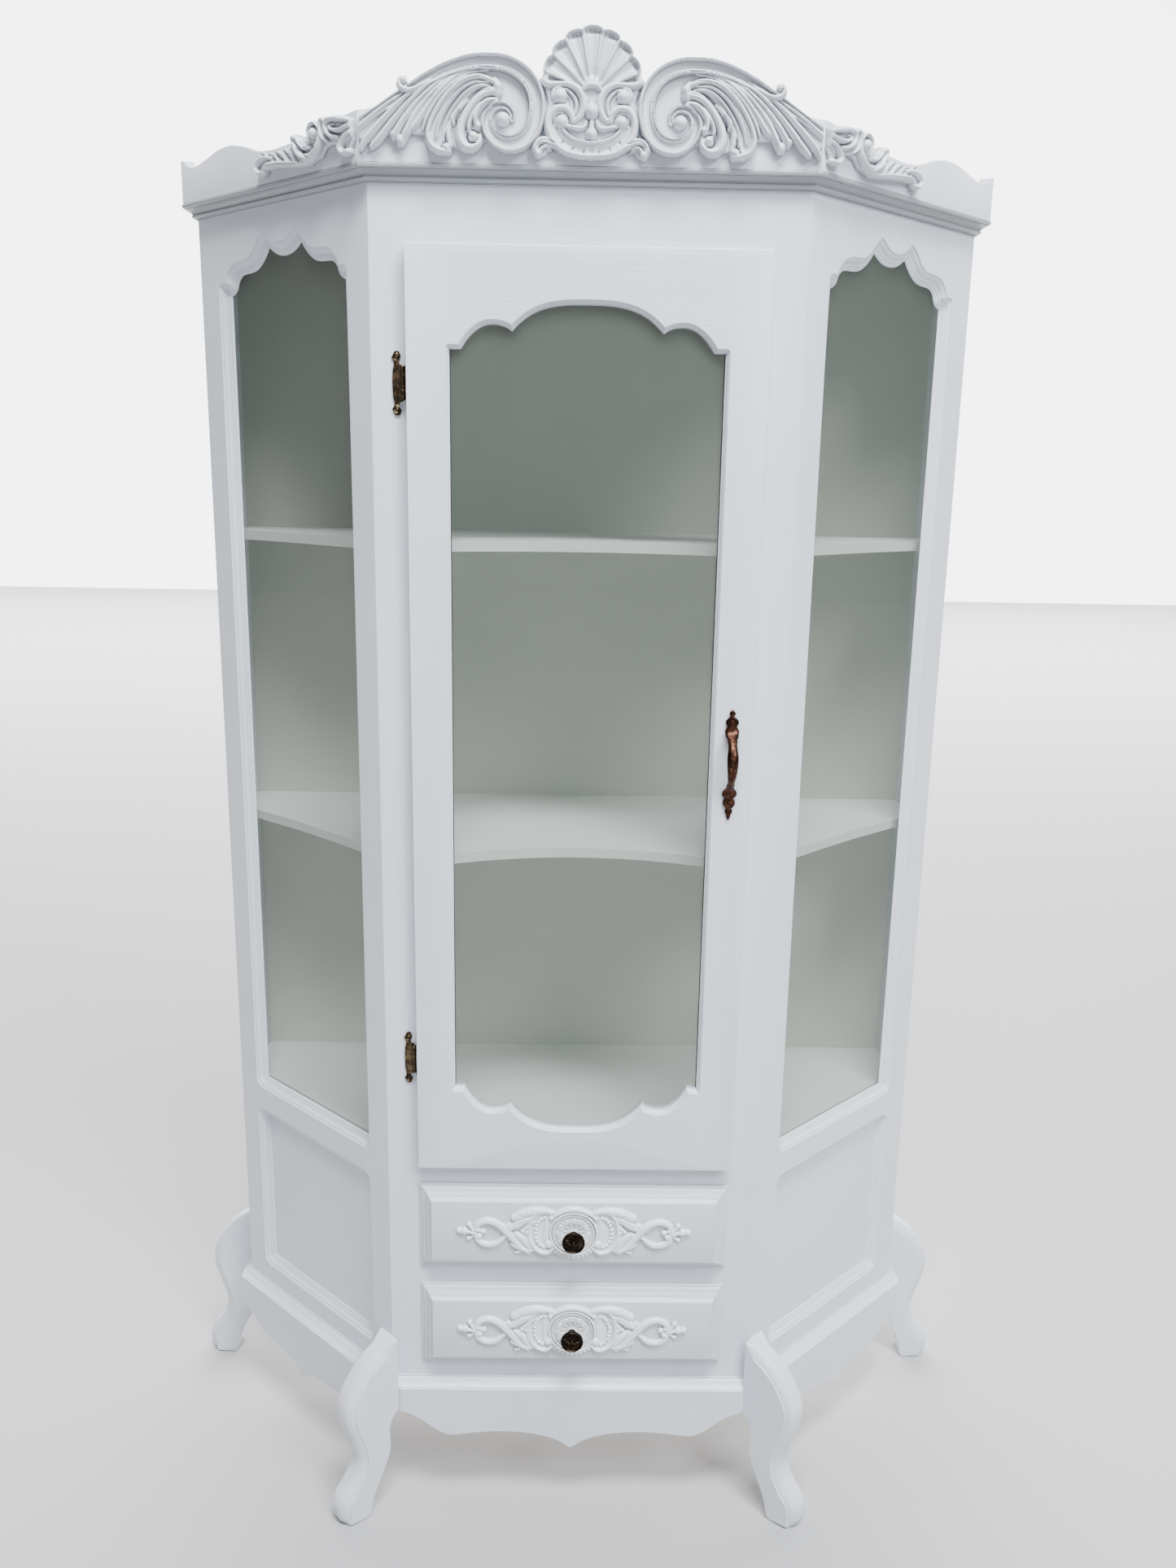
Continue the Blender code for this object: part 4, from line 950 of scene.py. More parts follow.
        made, extra = tris[up[tris].all(1)], []
        for tri in tris[up[tris].any(1) & ~up[tris].all(1)].tolist():
            while up[tri[2]] or not up[tri[0]]:
                tri = tri[1:] + tri[:1]
                if up[tri[0]] and not up[tri[2]]:
                    break
            i, j, k = tri
            if up[j]:
                p, q = edge(j, k), edge(i, k)
                extra += [(i, j, p), (i, p, q)]
            else:
                extra.append((i, edge(i, j), edge(i, k)))
        top = np.concatenate([made, np.array(extra, int).reshape(-1, 3)])
        used, top = np.unique(top, return_inverse=True)
        top = top.reshape(-1, 3)
        px, pz, ph, self.shade = (np.array(v)[used] for v in (points_x, points_z, points_h, shade))
        count = len(used)
        verts = [place(x, z, h + skirt) for x, z, h in zip(px, pz, ph)]
        verts += [place(x, z, 0.0) for x, z in zip(px, pz)]
        pairs = np.concatenate([top[:, [0, 1]], top[:, [1, 2]], top[:, [2, 0]]])
        known = set(map(tuple, pairs.tolist()))
        rim = [(i, j) for i, j in known if (j, i) not in known]
        faces = top.tolist() + (top[:, ::-1] + count).tolist()
        faces += [(j, i, i + count, j + count) for i, j in sorted(rim)]
        return verts, faces


def cup(u, side):
    """Hollow leaf lobe with a rounded lip."""
    return np.minimum(0.52 + 0.48 * u**1.6, np.sqrt(np.clip((1 - u) / 0.22, 0, 1)))


def lipped(u, side):
    """Scroll ribbon: a thick bead on the left of the line, a hollow, and two thin beads on the right."""
    outer = 0.60 + 0.40 * dome((side - 0.78) / 0.22)
    inner = 0.50 + 0.42 * dome((side + 0.86) / 0.13)
    second = 0.46 + 0.30 * dome((side + 0.58) / 0.12)
    floor = 0.42 + 0.12 * np.abs(side)
    shape = np.where(side > 0.56, outer, np.where(side < -0.73, inner, np.where(side < -0.46, second, floor)))
    return np.minimum(shape, np.sqrt(np.clip((1 - u) / 0.10, 0, 1)))


SECTIONS = {"bead": lambda u, side: dome(u), "cup": cup, "lipped": lipped}


def shell(art, fx, fz, lobes, low_angle, height):
    """Fan of hollow flutes with a double rib between them and a rolled lip at each tip."""
    dx, dz = art.X - fx, art.Z - fz
    r, a = np.hypot(dx, dz), np.degrees(np.arctan2(dz, np.abs(dx)))
    made = np.full(art.X.shape, -1.0)
    for centre, half, length, tip in lobes:
        u = np.abs((a - centre) / half)
        end = length - tip * (1 - np.sqrt(np.clip(1 - u**2.2, 0, 1)))
        share = np.clip(r / end, 0, 1)
        rib = np.clip((u - 0.70) / 0.30, 0, 1)
        hollow = 0.54 + 0.12 * u**2 + 0.36 * np.sin(math.pi * rib / 2) ** 0.8
        crease = 0.16 * np.exp(-(((u - 1.0) / 0.10) ** 2))
        inner_rib = 0.10 * np.exp(-(((u - 0.48) / 0.13) ** 2)) * np.clip((share - 0.35) / 0.2, 0, 1)
        lip = 0.50 * np.exp(-(((end - r - 1.7) / 1.5) ** 2)) * (1 - 0.3 * u)
        dip = 0.26 * np.exp(-(((end - r - 6.0) / 2.6) ** 2)) * (1 - u**2)
        body = (hollow - crease + inner_rib) * (0.35 + 0.65 * np.clip(share / 0.42, 0, 1)) + lip - dip
        edge = np.sqrt(np.clip(end - r, 0, 1))
        made = np.where((u <= 1) & (r < end), np.maximum(made, height * body * edge), made)
    art.H = np.maximum(art.H, np.where(a < low_angle, -1.0, made))


def on_circle(radius, angle):
    return radius * math.cos(angle), radius * math.sin(angle)


def both_ways(art, draw):
    """Draw on the right, then mirror the result to the left."""
    draw(art)
    art.H = np.maximum(art.H, art.H[:, ::-1])
    return art


def cartouche():
    art = Carving((-66.4, 3.2), (66.4, 142.4), 0.8)

    def draw(c):
        c.plate([(0, 10), (30, 15), (46, 28), (50, 48), (47, 62), (50, 74), (50, 86), (44, 93), (20, 92), (0, 90)],
            3.0, 2.0)
        shell(c, 0, 71, [(90, 10.5, 67, 5), (70.5, 9.5, 65.5, 5), (51.5, 9.8, 62.5, 5), (31.5, 10.4, 60, 6)], 12,
            10.5)
        c.ball(0, 80, 13.0, 7.0)
        # Wings under the shell running into the upper scrolls
        c.stroke([(49, 89), (51.5, 83), (46, 79.8), (38, 80), (27, 80.2), (17, 76.5), (10.5, 69), (8.6, 60),
            (11.5, 50), (19, 43.6)], (8, 9, 9, 8, 8, 9, 9.6, 9.6, 8, 5), (8, 9, 9, 9, 9.5, 10, 10, 9.5, 8, 6))
        c.groove([(46, 82.4), (38, 82.2), (27, 82.6), (16, 79), (9.5, 72)], 1.4, 1.6)
        c.stroke([(36, 75.4), (28, 74.6), (21, 69.5), (16.8, 62), (17.5, 53), (22, 46)], (2.4, 3.4, 4.4, 4.4, 4, 3),
            (6, 8, 8, 8, 7, 5))
        c.stroke([(31, 71), (25.5, 68), (22, 61.5), (22.5, 54), (27, 48)], (2, 2.6, 3, 3, 2.4), (5, 5.6, 5.6, 5.4, 4))
        c.stroke([(40, 63), (42.5, 69), (40, 75), (34, 76.6)], (4, 5, 5, 4), (6, 7.5, 8, 8))
        c.ball(34.2, 68.4, 8.2, 12.0)
        # Lower scrolls and the great band
        c.stroke([(20.5, 45), (23, 52), (30, 56.6), (39, 55.4), (45.4, 48.4), (47.2, 38), (43.5, 26.5), (34, 16.6),
            (19.6, 10.8), (-1, 8.8)], (7, 8, 8.6, 9, 9.6, 9.6, 9, 8, 7.4, 7), (7.5, 9, 10, 10.5, 10.5, 10.5, 10, 10,
            10, 10))
        c.stroke([(38, 36), (34.5, 27.5), (25, 20.0), (12, 15.6), (-1, 14.4)], (10, 12, 12.5, 12.5, 12.5),
            (6.6, 6.8, 6.8, 6.8, 6.8), "cup")
        c.stroke([(31, 35), (24, 28.4), (12.5, 23.4), (-1, 22.0)], (4, 4.4, 4.8, 4.8), (9, 9.4, 9.6, 9.6))
        c.groove([(30, 34), (23.5, 27.8), (12.2, 22.8), (-1, 21.4)], 1.2, 1.2)
        c.ball(32.3, 43.0, 7.8, 12.0)
        c.stroke([(40.6, 42), (39.6, 49.4), (33, 52), (26.6, 49.4)], (2.5, 3.5, 3.5, 2.5), (5, 7, 7, 5))
        # Swag, hood, ball and drop
        c.stroke([(27, 38.5), (20, 37.4), (13, 36.2), (8, 37.8), (5.8, 43)], (5, 5.6, 6.2, 5.6, 4.4),
            (8.5, 9.5, 10, 9.5, 8))
        c.stroke([(-9.6, 74), (-6, 77.6), (0, 78.8), (6, 77.6), (9.6, 74)], (5, 7, 8, 7, 5), (10, 12, 13, 12, 10))
        c.plate([(-9, 68), (-8, 78), (8, 78), (9, 68), (6, 62), (-6, 62)], 6.0, 2.0)
        c.stroke([(0, 48), (0, 42), (0, 37), (0, 31)], (5, 6, 7, 10), (7, 9, 10, 11))
        c.ball(0, 31.0, 6.8, 12.0, squash=1.12)
        c.ball(0, 54.0, 8.0, 13.2, squash=1.16)
        # Leaf curls at the foot
        c.plate([(40, 12), (48, 22), (58, 24), (63, 16), (60, 9), (52, 8), (46, 14)], 3.0, 2.0)
        c.stroke([(37, 18), (44, 22), (51, 24.2), (58, 22), (61, 15.6), (58, 10)], (7, 9, 9, 9, 9, 7),
            (7, 9, 10.5, 11, 10, 8))
        c.stroke([(45, 17), (50, 18.4), (54.5, 15.4), (55.5, 10.5)], (3.6, 4.6, 5, 5), (6.5, 8, 8.5, 8))
        c.ball(57.6, 11.0, 5.2, 9.5)
        for x, z in ((8.5, 12.6), (20.5, 16.0), (31, 23.2)):
            turn = math.atan2(z - 70, x)
            way = (math.cos(turn), math.sin(turn))
            c.groove([(x - 1.6 * way[0], z - 1.6 * way[1]), (x + 1.6 * way[0], z + 1.6 * way[1])], 2.0, 2.2)
        c.groove([(39, 21), (48, 23.8), (55, 23.2), (58.6, 18)], 1.8, 2.0)

    return both_ways(art, draw).soften()


def great_scroll():
    """Right-hand scroll with acanthus fronds; distance from the middle and height over the cornice."""
    c = Carving((48.0, 4.0), (255.2, 114.4), 0.8)
    # Ground behind the scroll's eye and the fronds
    c.plate([(56, 60), (62, 84), (80, 100), (104, 102), (140, 94), (180, 72), (215, 54), (250, 36), (254, 24),
        (238, 18), (222, 26), (196, 28), (176, 26), (150, 16), (134, 16), (122, 24), (100, 16), (76, 18), (62, 34)],
        3.2, 2.0)
    # Long ribs from the scroll's back down to the tips on the right
    for points, wide, tall in (
        ([(196, 73), (214, 61), (234, 47), (255, 31)], (3, 5, 6.5, 7), (6, 9, 10, 9)),
        ([(168, 86), (188, 74), (208, 58), (228, 39), (244, 22), (250, 13)], (3, 6, 7, 8, 8, 6),
        (7, 9, 10, 10.5, 10.5, 8)),
        ([(158, 88), (178, 75), (198, 58), (216, 39), (230, 22), (238, 14.5)], (3, 6, 7, 8, 8.5, 6.5),
        (7, 9.5, 10, 10.5, 11, 8)),
        ([(146, 90), (166, 78), (185, 62), (202, 43), (211, 30), (214, 24.5)], (3, 6, 7, 8.5, 9, 8),
        (7, 9.5, 10.5, 11, 11, 9)),
        ([(134, 92), (154, 82), (174, 66), (190, 47), (200, 30), (206, 19)], (3, 6, 7, 8.5, 9.5, 8),
        (7, 9.5, 10.5, 11, 11.5, 9)),
        ([(122, 93.5), (144, 86), (164, 70), (179, 52), (189, 38), (196, 31)], (3, 6, 7, 7.5, 7.5, 5),
        (7, 9.5, 10.5, 10.5, 10, 8)),
        ([(112, 92), (132, 88), (151, 77), (167, 61), (178, 44), (183, 32)], (3, 5, 6, 6.5, 6, 4),
        (6, 8.5, 9.5, 9.5, 8.5, 7)),
    ):
        c.stroke(points, wide, tall)
        c.groove([(x - 1.1, z - 1.1) for x, z in points[1:]], 1.7, 2.0)
    c.ball(206.6, 21.0, 5.6, 10.5, squash=1.25)
    c.ball(214.2, 27.0, 4.8, 10.0)
    # Great frond below the scroll's back
    c.stroke([(106, 78), (120, 80), (134, 74), (148, 60), (158, 44), (166, 30), (168, 20)],
        (10, 13, 15, 17, 18, 18, 15), (7, 10, 11, 11.5, 12, 12, 11), "cup")
    c.stroke([(104, 80), (120, 84.6), (138, 80.4), (156, 66), (169.5, 47), (176.5, 30), (174.5, 18), (166, 12),
        (155, 10.6)], (7, 7.5, 7.5, 7.5, 7.5, 7.5, 8, 8.5, 7), (10, 13, 14, 14, 14, 13.5, 13, 12.5, 10))
    c.groove([(112, 84), (124, 83.6), (140, 77.6), (156.5, 62.4), (168.6, 44), (174, 29)], 1.4, 1.8)
    c.stroke([(112, 79.5), (128, 78.6), (143, 69.6), (156.5, 53.6), (165, 37), (168, 24)],
        (3, 4.4, 4.4, 4.4, 4.4, 4), (9, 11.5, 12.5, 12.5, 12, 11))
    c.stroke([(110, 76.6), (124, 75.4), (137, 67.6), (150, 52.6), (158.6, 36), (160.6, 22)],
        (3.4, 4.6, 4.6, 4.6, 4.6, 4.6), (8, 11.5, 12.5, 12.5, 12, 10))
    c.stroke([(134, 62), (144, 52), (150, 43.6), (149.6, 39)], (4, 7, 8, 6), (8, 11, 12, 10))
    c.stroke([(152, 40), (154.6, 32), (154.6, 24), (152.6, 17)], (5, 7, 7, 6), (8, 10, 10, 9))
    c.groove([(143, 50.6), (147, 43.4), (146.6, 37.6)], 2.4, 4.4)
    c.ball(157.0, 14.6, 5.6, 12.0)
    # Second frond, curling round its own ball
    c.stroke([(101, 70), (110, 71.4), (121, 66), (131.6, 54.6), (139.6, 41), (142.6, 28), (138.4, 17.6), (129.6, 15),
        (121.6, 20), (120.6, 27)], (11, 10, 9.5, 9.5, 10, 11, 11.5, 10, 8, 6), (9, 10.5, 11, 11.5, 12, 12.5, 12.5, 12,
        11, 9))
    c.groove([(108, 72.6), (122, 68), (134, 55), (142.4, 40), (145.6, 28)], 1.6, 2.2)
    c.stroke([(112, 63), (122, 57), (129.6, 46), (133, 36), (131, 29)], (3.4, 4.6, 5.4, 5.4, 4.6),
        (7.5, 9.5, 10, 10, 9))
    c.ball(127.6, 26.4, 6.0, 12.0)
    c.groove([(123, 30.4), (130, 33), (134.6, 27), (132, 20.6), (126, 19.6)], 1.8, 4.0)
    # Third, small frond beside the eye
    c.stroke([(103, 63), (112, 61.6), (120, 55.6), (125.4, 47), (124.6, 38)], (7, 8, 8, 8, 6.5),
        (8, 10, 10.5, 10.5, 9))
    c.groove([(106, 62), (115, 58), (121.6, 50), (123.6, 41)], 1.6, 2.8)
    c.stroke([(108, 56), (114, 52), (118.4, 45.6), (119, 38)], (3, 4, 4, 3), (7, 8.5, 8.5, 7))
    c.ball(122.6, 37.0, 4.6, 9.6)
    # Knuckle where the fronds spring
    c.stroke([(105, 82), (101.6, 76), (102.6, 69)], (8, 11, 9), (9, 12, 10))
    # Great scroll ribbon, drawn from the eye out to the tail
    ribbon = [(254, 38), (234, 48.5), (212, 62), (192, 73.5), (172, 84.5), (152, 93), (132, 98.6), (112, 100.2),
        (94, 98.6), (78, 92), (66, 80.5), (59.6, 65), (59.6, 48), (64.5, 33.5), (75, 23), (89, 19.4), (102, 23.2),
        (110.8, 32.4), (113.0, 43.5), (108.6, 53.4), (100, 57.8), (91.5, 56.4), (86.2, 50.4), (86, 43.4)]
    wide = (7, 9, 10.5, 12, 13.5, 14.5, 15.5, 16, 16.5, 17, 17.4, 17.6, 17.8, 18, 18.2, 18, 16, 13.5, 11, 8.8, 7.4,
        6.4, 5.6, 4.6)
    tall = (7, 9, 10, 11, 12, 12.5, 13, 13, 13, 13, 13, 13, 13, 13, 13, 13, 12.5, 12, 11.5, 11, 10.5, 10, 9.5, 9)
    c.stroke(ribbon[::-1], wide[::-1], tall[::-1], "lipped", steps=9)
    c.ball(96.0, 43.8, 8.2, 13.0)
    # Tip that breaks out of the ribbon's back
    c.stroke([(172, 83), (184, 75), (195, 70.6), (203.5, 71.4), (207.4, 76.6), (205.0, 81.6), (200.8, 81.8)],
        (2.5, 5.5, 7, 8, 7.4, 6.6, 5.4), (8, 11, 12, 13, 13, 12, 10))
    c.ball(202.2, 79.6, 4.4, 12.5)
    return c.soften()


def side_leaf():
    """Leaf scroll on the canted crest, right hand: distance from the corner and height over the cornice."""
    c = Carving((-8.0, 2.4), (184.0, 54.4), 0.8)
    c.plate([(-7, 26), (2, 40), (22, 47), (46, 48), (56, 47), (66, 44), (80, 36), (104, 34), (130, 29), (152, 28),
        (172, 22), (170, 14), (110, 12), (84, 9), (56, 12), (44, 21), (26, 22), (14, 12), (2, 12)], 3.0, 2.0)
    # Tail of the great scroll, coming round the corner
    c.stroke([(-8, 37), (4, 35), (16, 34), (27, 36), (32, 40), (28, 42)], (7, 6.5, 6, 5.5, 5, 3.5),
        (9, 10, 10, 10, 9.5, 8))
    c.stroke([(-6, 40), (6, 43), (20, 46), (33, 47), (38.6, 43), (37, 36), (30, 30), (18, 27)],
        (6, 7, 8, 8.5, 8, 8, 7.5, 6), (8, 9.5, 10.5, 11, 11, 10.5, 10, 8))
    c.stroke([(-8, 30), (3, 27), (11, 21), (14, 15), (10, 11), (2, 11)], (9, 9.5, 9.5, 9.5, 8.5, 7),
        (9, 10, 11, 11, 10, 8))
    c.groove([(-7, 28), (3, 24), (9, 17.5), (8, 12)], 1.8, 3.2)
    c.groove([(-7, 32), (6, 27.6), (14, 20.5)], 1.4, 2.0)
    c.groove([(0, 40), (14, 41.5), (26, 44), (33, 43)], 1.6, 2.6)
    c.stroke([(39, 46), (45, 49), (48.6, 43), (46, 32), (38, 25)], (5, 6, 7, 7, 5), (9, 11, 11.5, 10.5, 8))
    # Volute round its ball
    c.stroke([(53, 42), (57, 47.4), (64, 47.2), (69.4, 41.6), (69, 34.4), (62.6, 29.4)], (4, 5, 5.6, 5.6, 5, 4),
        (9, 11, 11.5, 11.5, 10.5, 9))
    c.stroke([(51, 46.6), (48.6, 36), (51.4, 25.6), (60, 17.6), (72, 13.8), (84, 16), (93, 23), (98, 31), (101, 36)],
        (5, 7, 9, 10.5, 11.5, 11.5, 11, 10, 7), (9, 10.5, 11.5, 12, 12, 12, 12, 12, 10))
    c.stroke([(72, 25), (81, 26), (88, 31), (94, 36.6), (100, 38.6), (104, 36)], (5, 7, 8, 8, 7, 5),
        (9, 10.5, 11.5, 11.5, 11, 9))
    c.ball(61.6, 37.4, 7.4, 13.0)
    for points in (
        [(56, 22), (66, 19), (76, 22), (82, 28), (88, 34)], [(70, 13), (80, 18), (87, 26), (92, 35)], [(80, 12),
            (91, 18), (97, 27), (100, 34)],
    ):
        c.groove(points, 1.6, 2.8)
    # Leaf blade running out to its rolled tip
    for points, wide, tall in (
        ([(90, 13), (99, 19), (105, 27)], (9, 12, 8), (9, 10.5, 9)),
        ([(102, 14), (113, 21), (120, 27)], (9, 13, 8), (9, 10.5, 9)),
        ([(116, 15), (128, 21.5), (137, 27)], (9, 13, 8), (8.5, 10, 8.5)),
        ([(130, 16.5), (142, 22.5), (152, 27.4)], (8, 12, 7), (8, 9.5, 8)),
        ([(146, 20), (156, 25), (167, 31)], (7, 9, 5), (7.5, 9, 7)),
    ):
        c.stroke(points, wide, tall, "cup")
        c.groove(points, 1.2, 1.6)
    c.stroke([(148, 20), (160, 21), (170, 18)], (9, 13, 14), (7, 8, 8), "cup")
    c.stroke([(74, 9.4), (96, 11.2), (116, 14), (136, 16.4), (154, 17.4), (165, 14.4)], (6, 6.5, 7, 7.5, 7.5, 6),
        (9, 10, 10, 10, 10, 8.5))
    c.stroke([(146, 24), (160, 26), (171, 23.4), (176.6, 16.6), (171, 10.6), (163, 11.4)], (5, 6.5, 7.5, 8, 7, 5),
        (8.5, 10.5, 11.5, 12, 11, 9))
    c.groove([(96, 10.8), (116, 13.6), (136, 16), (154, 16.6)], 1.4, 2.2)
    return c.soften()


def drawer_ornament():
    """Rosette with scrolls, leaves, ribbons and buds; distances from the drawer's middle."""
    c = Carving((-157.2, -37.6), (157.2, 42.0), 0.6)

    def draw(c):
        # Leaves outside the scrolls
        for points, wide, tall in (
            ([(52, 18), (60, 11), (68, 3)], (5, 7.5, 5), (4, 5, 4)),
            ([(53, 24), (65, 19.5), (76, 12), (84, 7)], (8, 12, 13, 9), (4.4, 5.6, 5.6, 4.4)),
            ([(28, 31), (45, 33.4), (62, 30.6), (78, 22.6)], (8, 12, 14, 13), (4.4, 5.8, 6, 5)),
            ([(54, -25), (64, -24.5), (74, -20), (81, -16.5)], (6, 8, 10, 8), (4, 5, 5.2, 4.4)),
            ([(58, -26), (63, -14), (70, -6), (77, -1)], (8, 12, 12, 8), (4, 5, 5, 4)),
            ([(57, -20), (58.6, -11), (60.6, -5)], (7, 8, 6), (4, 5.2, 4.6)),
        ):
            c.stroke(points, wide, tall)
        c.groove([(64, 26.4), (71, 27), (75, 30)], 1.2, 1.4)
        c.groove([(60, 20), (70, 17), (80, 11)], 1.2, 1.2)
        c.groove([(62, -22), (71, -19.6), (80, -16)], 1.2, 1.4)
        for x, z, r in ((62, 1.5, 4.6), (68, 3, 3.2), (75, -3.5, 2.4), (76, -29, 2.4), (72, -28, 2.4)):
            c.ball(x, z, r, 5.0 if r > 3 else 3.6)
        # Ribbons, one over the other
        c.stroke([(92, -6), (99, -13), (108, -17.6), (119, -17), (127, -11.5), (131, -3)], (5, 8, 9.5, 9.5, 9, 6),
            (3.8, 4.4, 4.4, 4.4, 4.4, 3.8))
        c.stroke([(86, 12), (93, 7), (93, 0), (90, -6)], (7, 7, 5, 4), (3.4, 3.6, 3.4, 3))
        c.stroke([(60, -29), (70, -21), (82, -7), (94, 7), (106, 15.6), (117, 17.4), (127, 12.5), (131.5, 2)],
            (5, 8, 10.5, 11, 10.5, 10, 9.5, 6), (4.4, 5.4, 5.8, 5.8, 5.4, 5.2, 5, 4))
        c.groove([(66, -22), (76, -11.6), (88, 2.4), (96, 10.4)], 1.2, 1.2)
        # Bud at the tip
        c.ball(121.0, 2.0, 4.4, 5.0)
        c.ball(126.0, -4.6, 4.8, 5.6)
        c.ball(127.5, 4.5, 4.0, 5.2)
        c.stroke([(130, -1), (138, 1), (144, 3)], (6, 5, 6), (4.4, 4.4, 4.8))
        c.stroke([(133, 2), (136.5, 7), (139.5, 12)], (4, 4.4, 5.4), (3.8, 4.2, 4.4))
        c.stroke([(133, -3), (137, -7), (140, -8.5)], (3, 3.6, 4.6), (3, 3.4, 3.8))
        c.ball(139.4, 12.6, 3.6, 4.8)
        c.ball(140.4, -8.6, 3.0, 3.8)
        c.ball(145.2, 2.6, 5.6, 5.8)
        c.ball(152.0, 3.0, 4.6, 5.0)
        # Scroll with its beaded hollow
        c.plate([(27, 26), (40, 31), (52, 22), (57, 4), (55, -14), (46, -27), (32, -30), (27, -20), (29, 0)], 1.2,
            1.0)
        c.stroke([(36, 21), (36.5, 8), (36.5, -6), (36, -18)], (8, 9, 9, 8), (2.6, 2.8, 2.8, 2.6))
        c.stroke([(28, 26), (34, 32.6), (45, 32.0), (54, 24.5), (58.5, 11), (58.5, -5), (54.5, -17.5), (46, -26),
            (35.5, -28.6), (27.5, -23)], (5, 6.5, 7, 7, 7, 7, 7, 7.4, 8, 6), (4, 5, 5.4, 5.4, 5.4, 5.4, 5.4, 5.8, 6,
            4.6))
        c.groove([(34, 31), (44, 30.4), (52.6, 23.4), (56.6, 11), (56.6, -5), (53, -16.5), (45, -24.4)], 1.2, 1.4)
        c.ball(29.6, 23.8, 4.4, 6.0)
        c.ball(32.4, -16.0, 6.6, 6.4)
        for x, z in ((38.0, 23.5), (42.8, 21.4), (46.4, 17.4), (49, 12.2), (50.4, 6.2), (50.8, 0), (50.2, -6.2),
            (48.4, -12), (44.6, -17), (40, -20)):
            c.ball(x, z, 3.2, 4.4)
        # Rosette: cap, rims and a ring of petals
        c.ball(0, 0, 34.0, 1.8)
        for a in range(-90, -38, 10):
            c.ball(*on_circle(35.0, math.radians(a)), 3.4, 4.2)
        arc = [on_circle(36.6, a) for a in np.linspace(math.radians(41), math.pi / 2 + 0.05, 9)]
        c.stroke(arc, (5.4, 8, 8.6, 8.6), (4.6, 5.6, 6, 6), steps=3)
        for radius, wide, tall in ((31.2, 3.6, 5.2), (27.2, 2.6, 4.2), (24.6, 1.8, 3.4)):
            ring = [on_circle(radius, a) for a in np.linspace(-math.pi / 2 - 0.05, math.pi / 2 + 0.05, 15)]
            c.stroke(ring, (wide,), (tall,), steps=3)
        for a in np.radians(np.arange(90, -91, -30)):
            c.stroke([on_circle(r, a) for r in (7, 14, 18.4)], (3.6, 8.0, 9.6), (2.8, 4.6, 5.6), "cup")
            c.ball(*on_circle(17.6, a), 2.8, 5.2)
        for a in np.radians(np.arange(75, -91, -30)):
            c.ball(*on_circle(21.6, a), 1.9, 3.6)
        c.ball(0, 0, 8.0, 4.0)

    return both_ways(c, draw).soften()


CARVED_AT = 1.750
crest_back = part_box("crest_cartouche")[1].y


def on_crest(x, z, high):
    return Vector((x * MM, crest_back - high * MM, CARVED_AT + z * MM))


def on_cant(x, z, high):
    return spot(RIGHT, x * MM, FRONT_Y - crest_back + high * MM, CARVED_AT + z * MM)


def carved(name, art, skirt, place, finish, body, node, mirror=False):
    """Carved piece, with how far each of its points lies below its surroundings as the attribute that its paint reads,
    to darken its crevices with painted shade.
    """
    solid = art.solid(skirt, place)
    made = build(name, *solid, finish, "ornament_paint", body, node, sharp=60, mirror=mirror, weld=None)
    shade = made.data.attributes.new("hollow", "FLOAT", "POINT")
    shade.data.foreach_set("value", np.concatenate([art.shade, art.shade * 0 + 0.6]).astype(np.float32))


carved("carved_cartouche", cartouche(), 1.6, on_crest, RESIN_PAINT, "case", "crest_cartouche")
scroll, leaf, rose = great_scroll(), side_leaf(), drawer_ornament()
scroll.H[:, scroll.x > 252.6] = -1.0
leaf.H[:, leaf.x < -4.9] = -1.0
for mirror, hand in HANDS:
    carved(f"carved_scroll_{hand}", scroll, 1.6, on_crest, RESIN_PAINT, "case", f"crest_scroll_{hand}", mirror)
    carved(f"carved_leaf_{hand}", leaf, 1.6, on_cant, RESIN_PAINT, "case", f"crest_leaf_{hand}", mirror)
for name in ("upper", "lower"):
    low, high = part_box(f"drawer_{name}_front")
    level_z, back = (low.z + high.z) / 2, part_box(f"drawer_{name}_ornament")[1].y
    on_drawer = lambda x, z, h, back=back, level_z=level_z: Vector((x * MM, back - h * MM, level_z + z * MM))
    carved(f"carved_rosette_{name}", rose, 0.6, on_drawer, LIT_RESIN_PAINT, f"drawer_{name}", f"drawer_{name}_ornament")

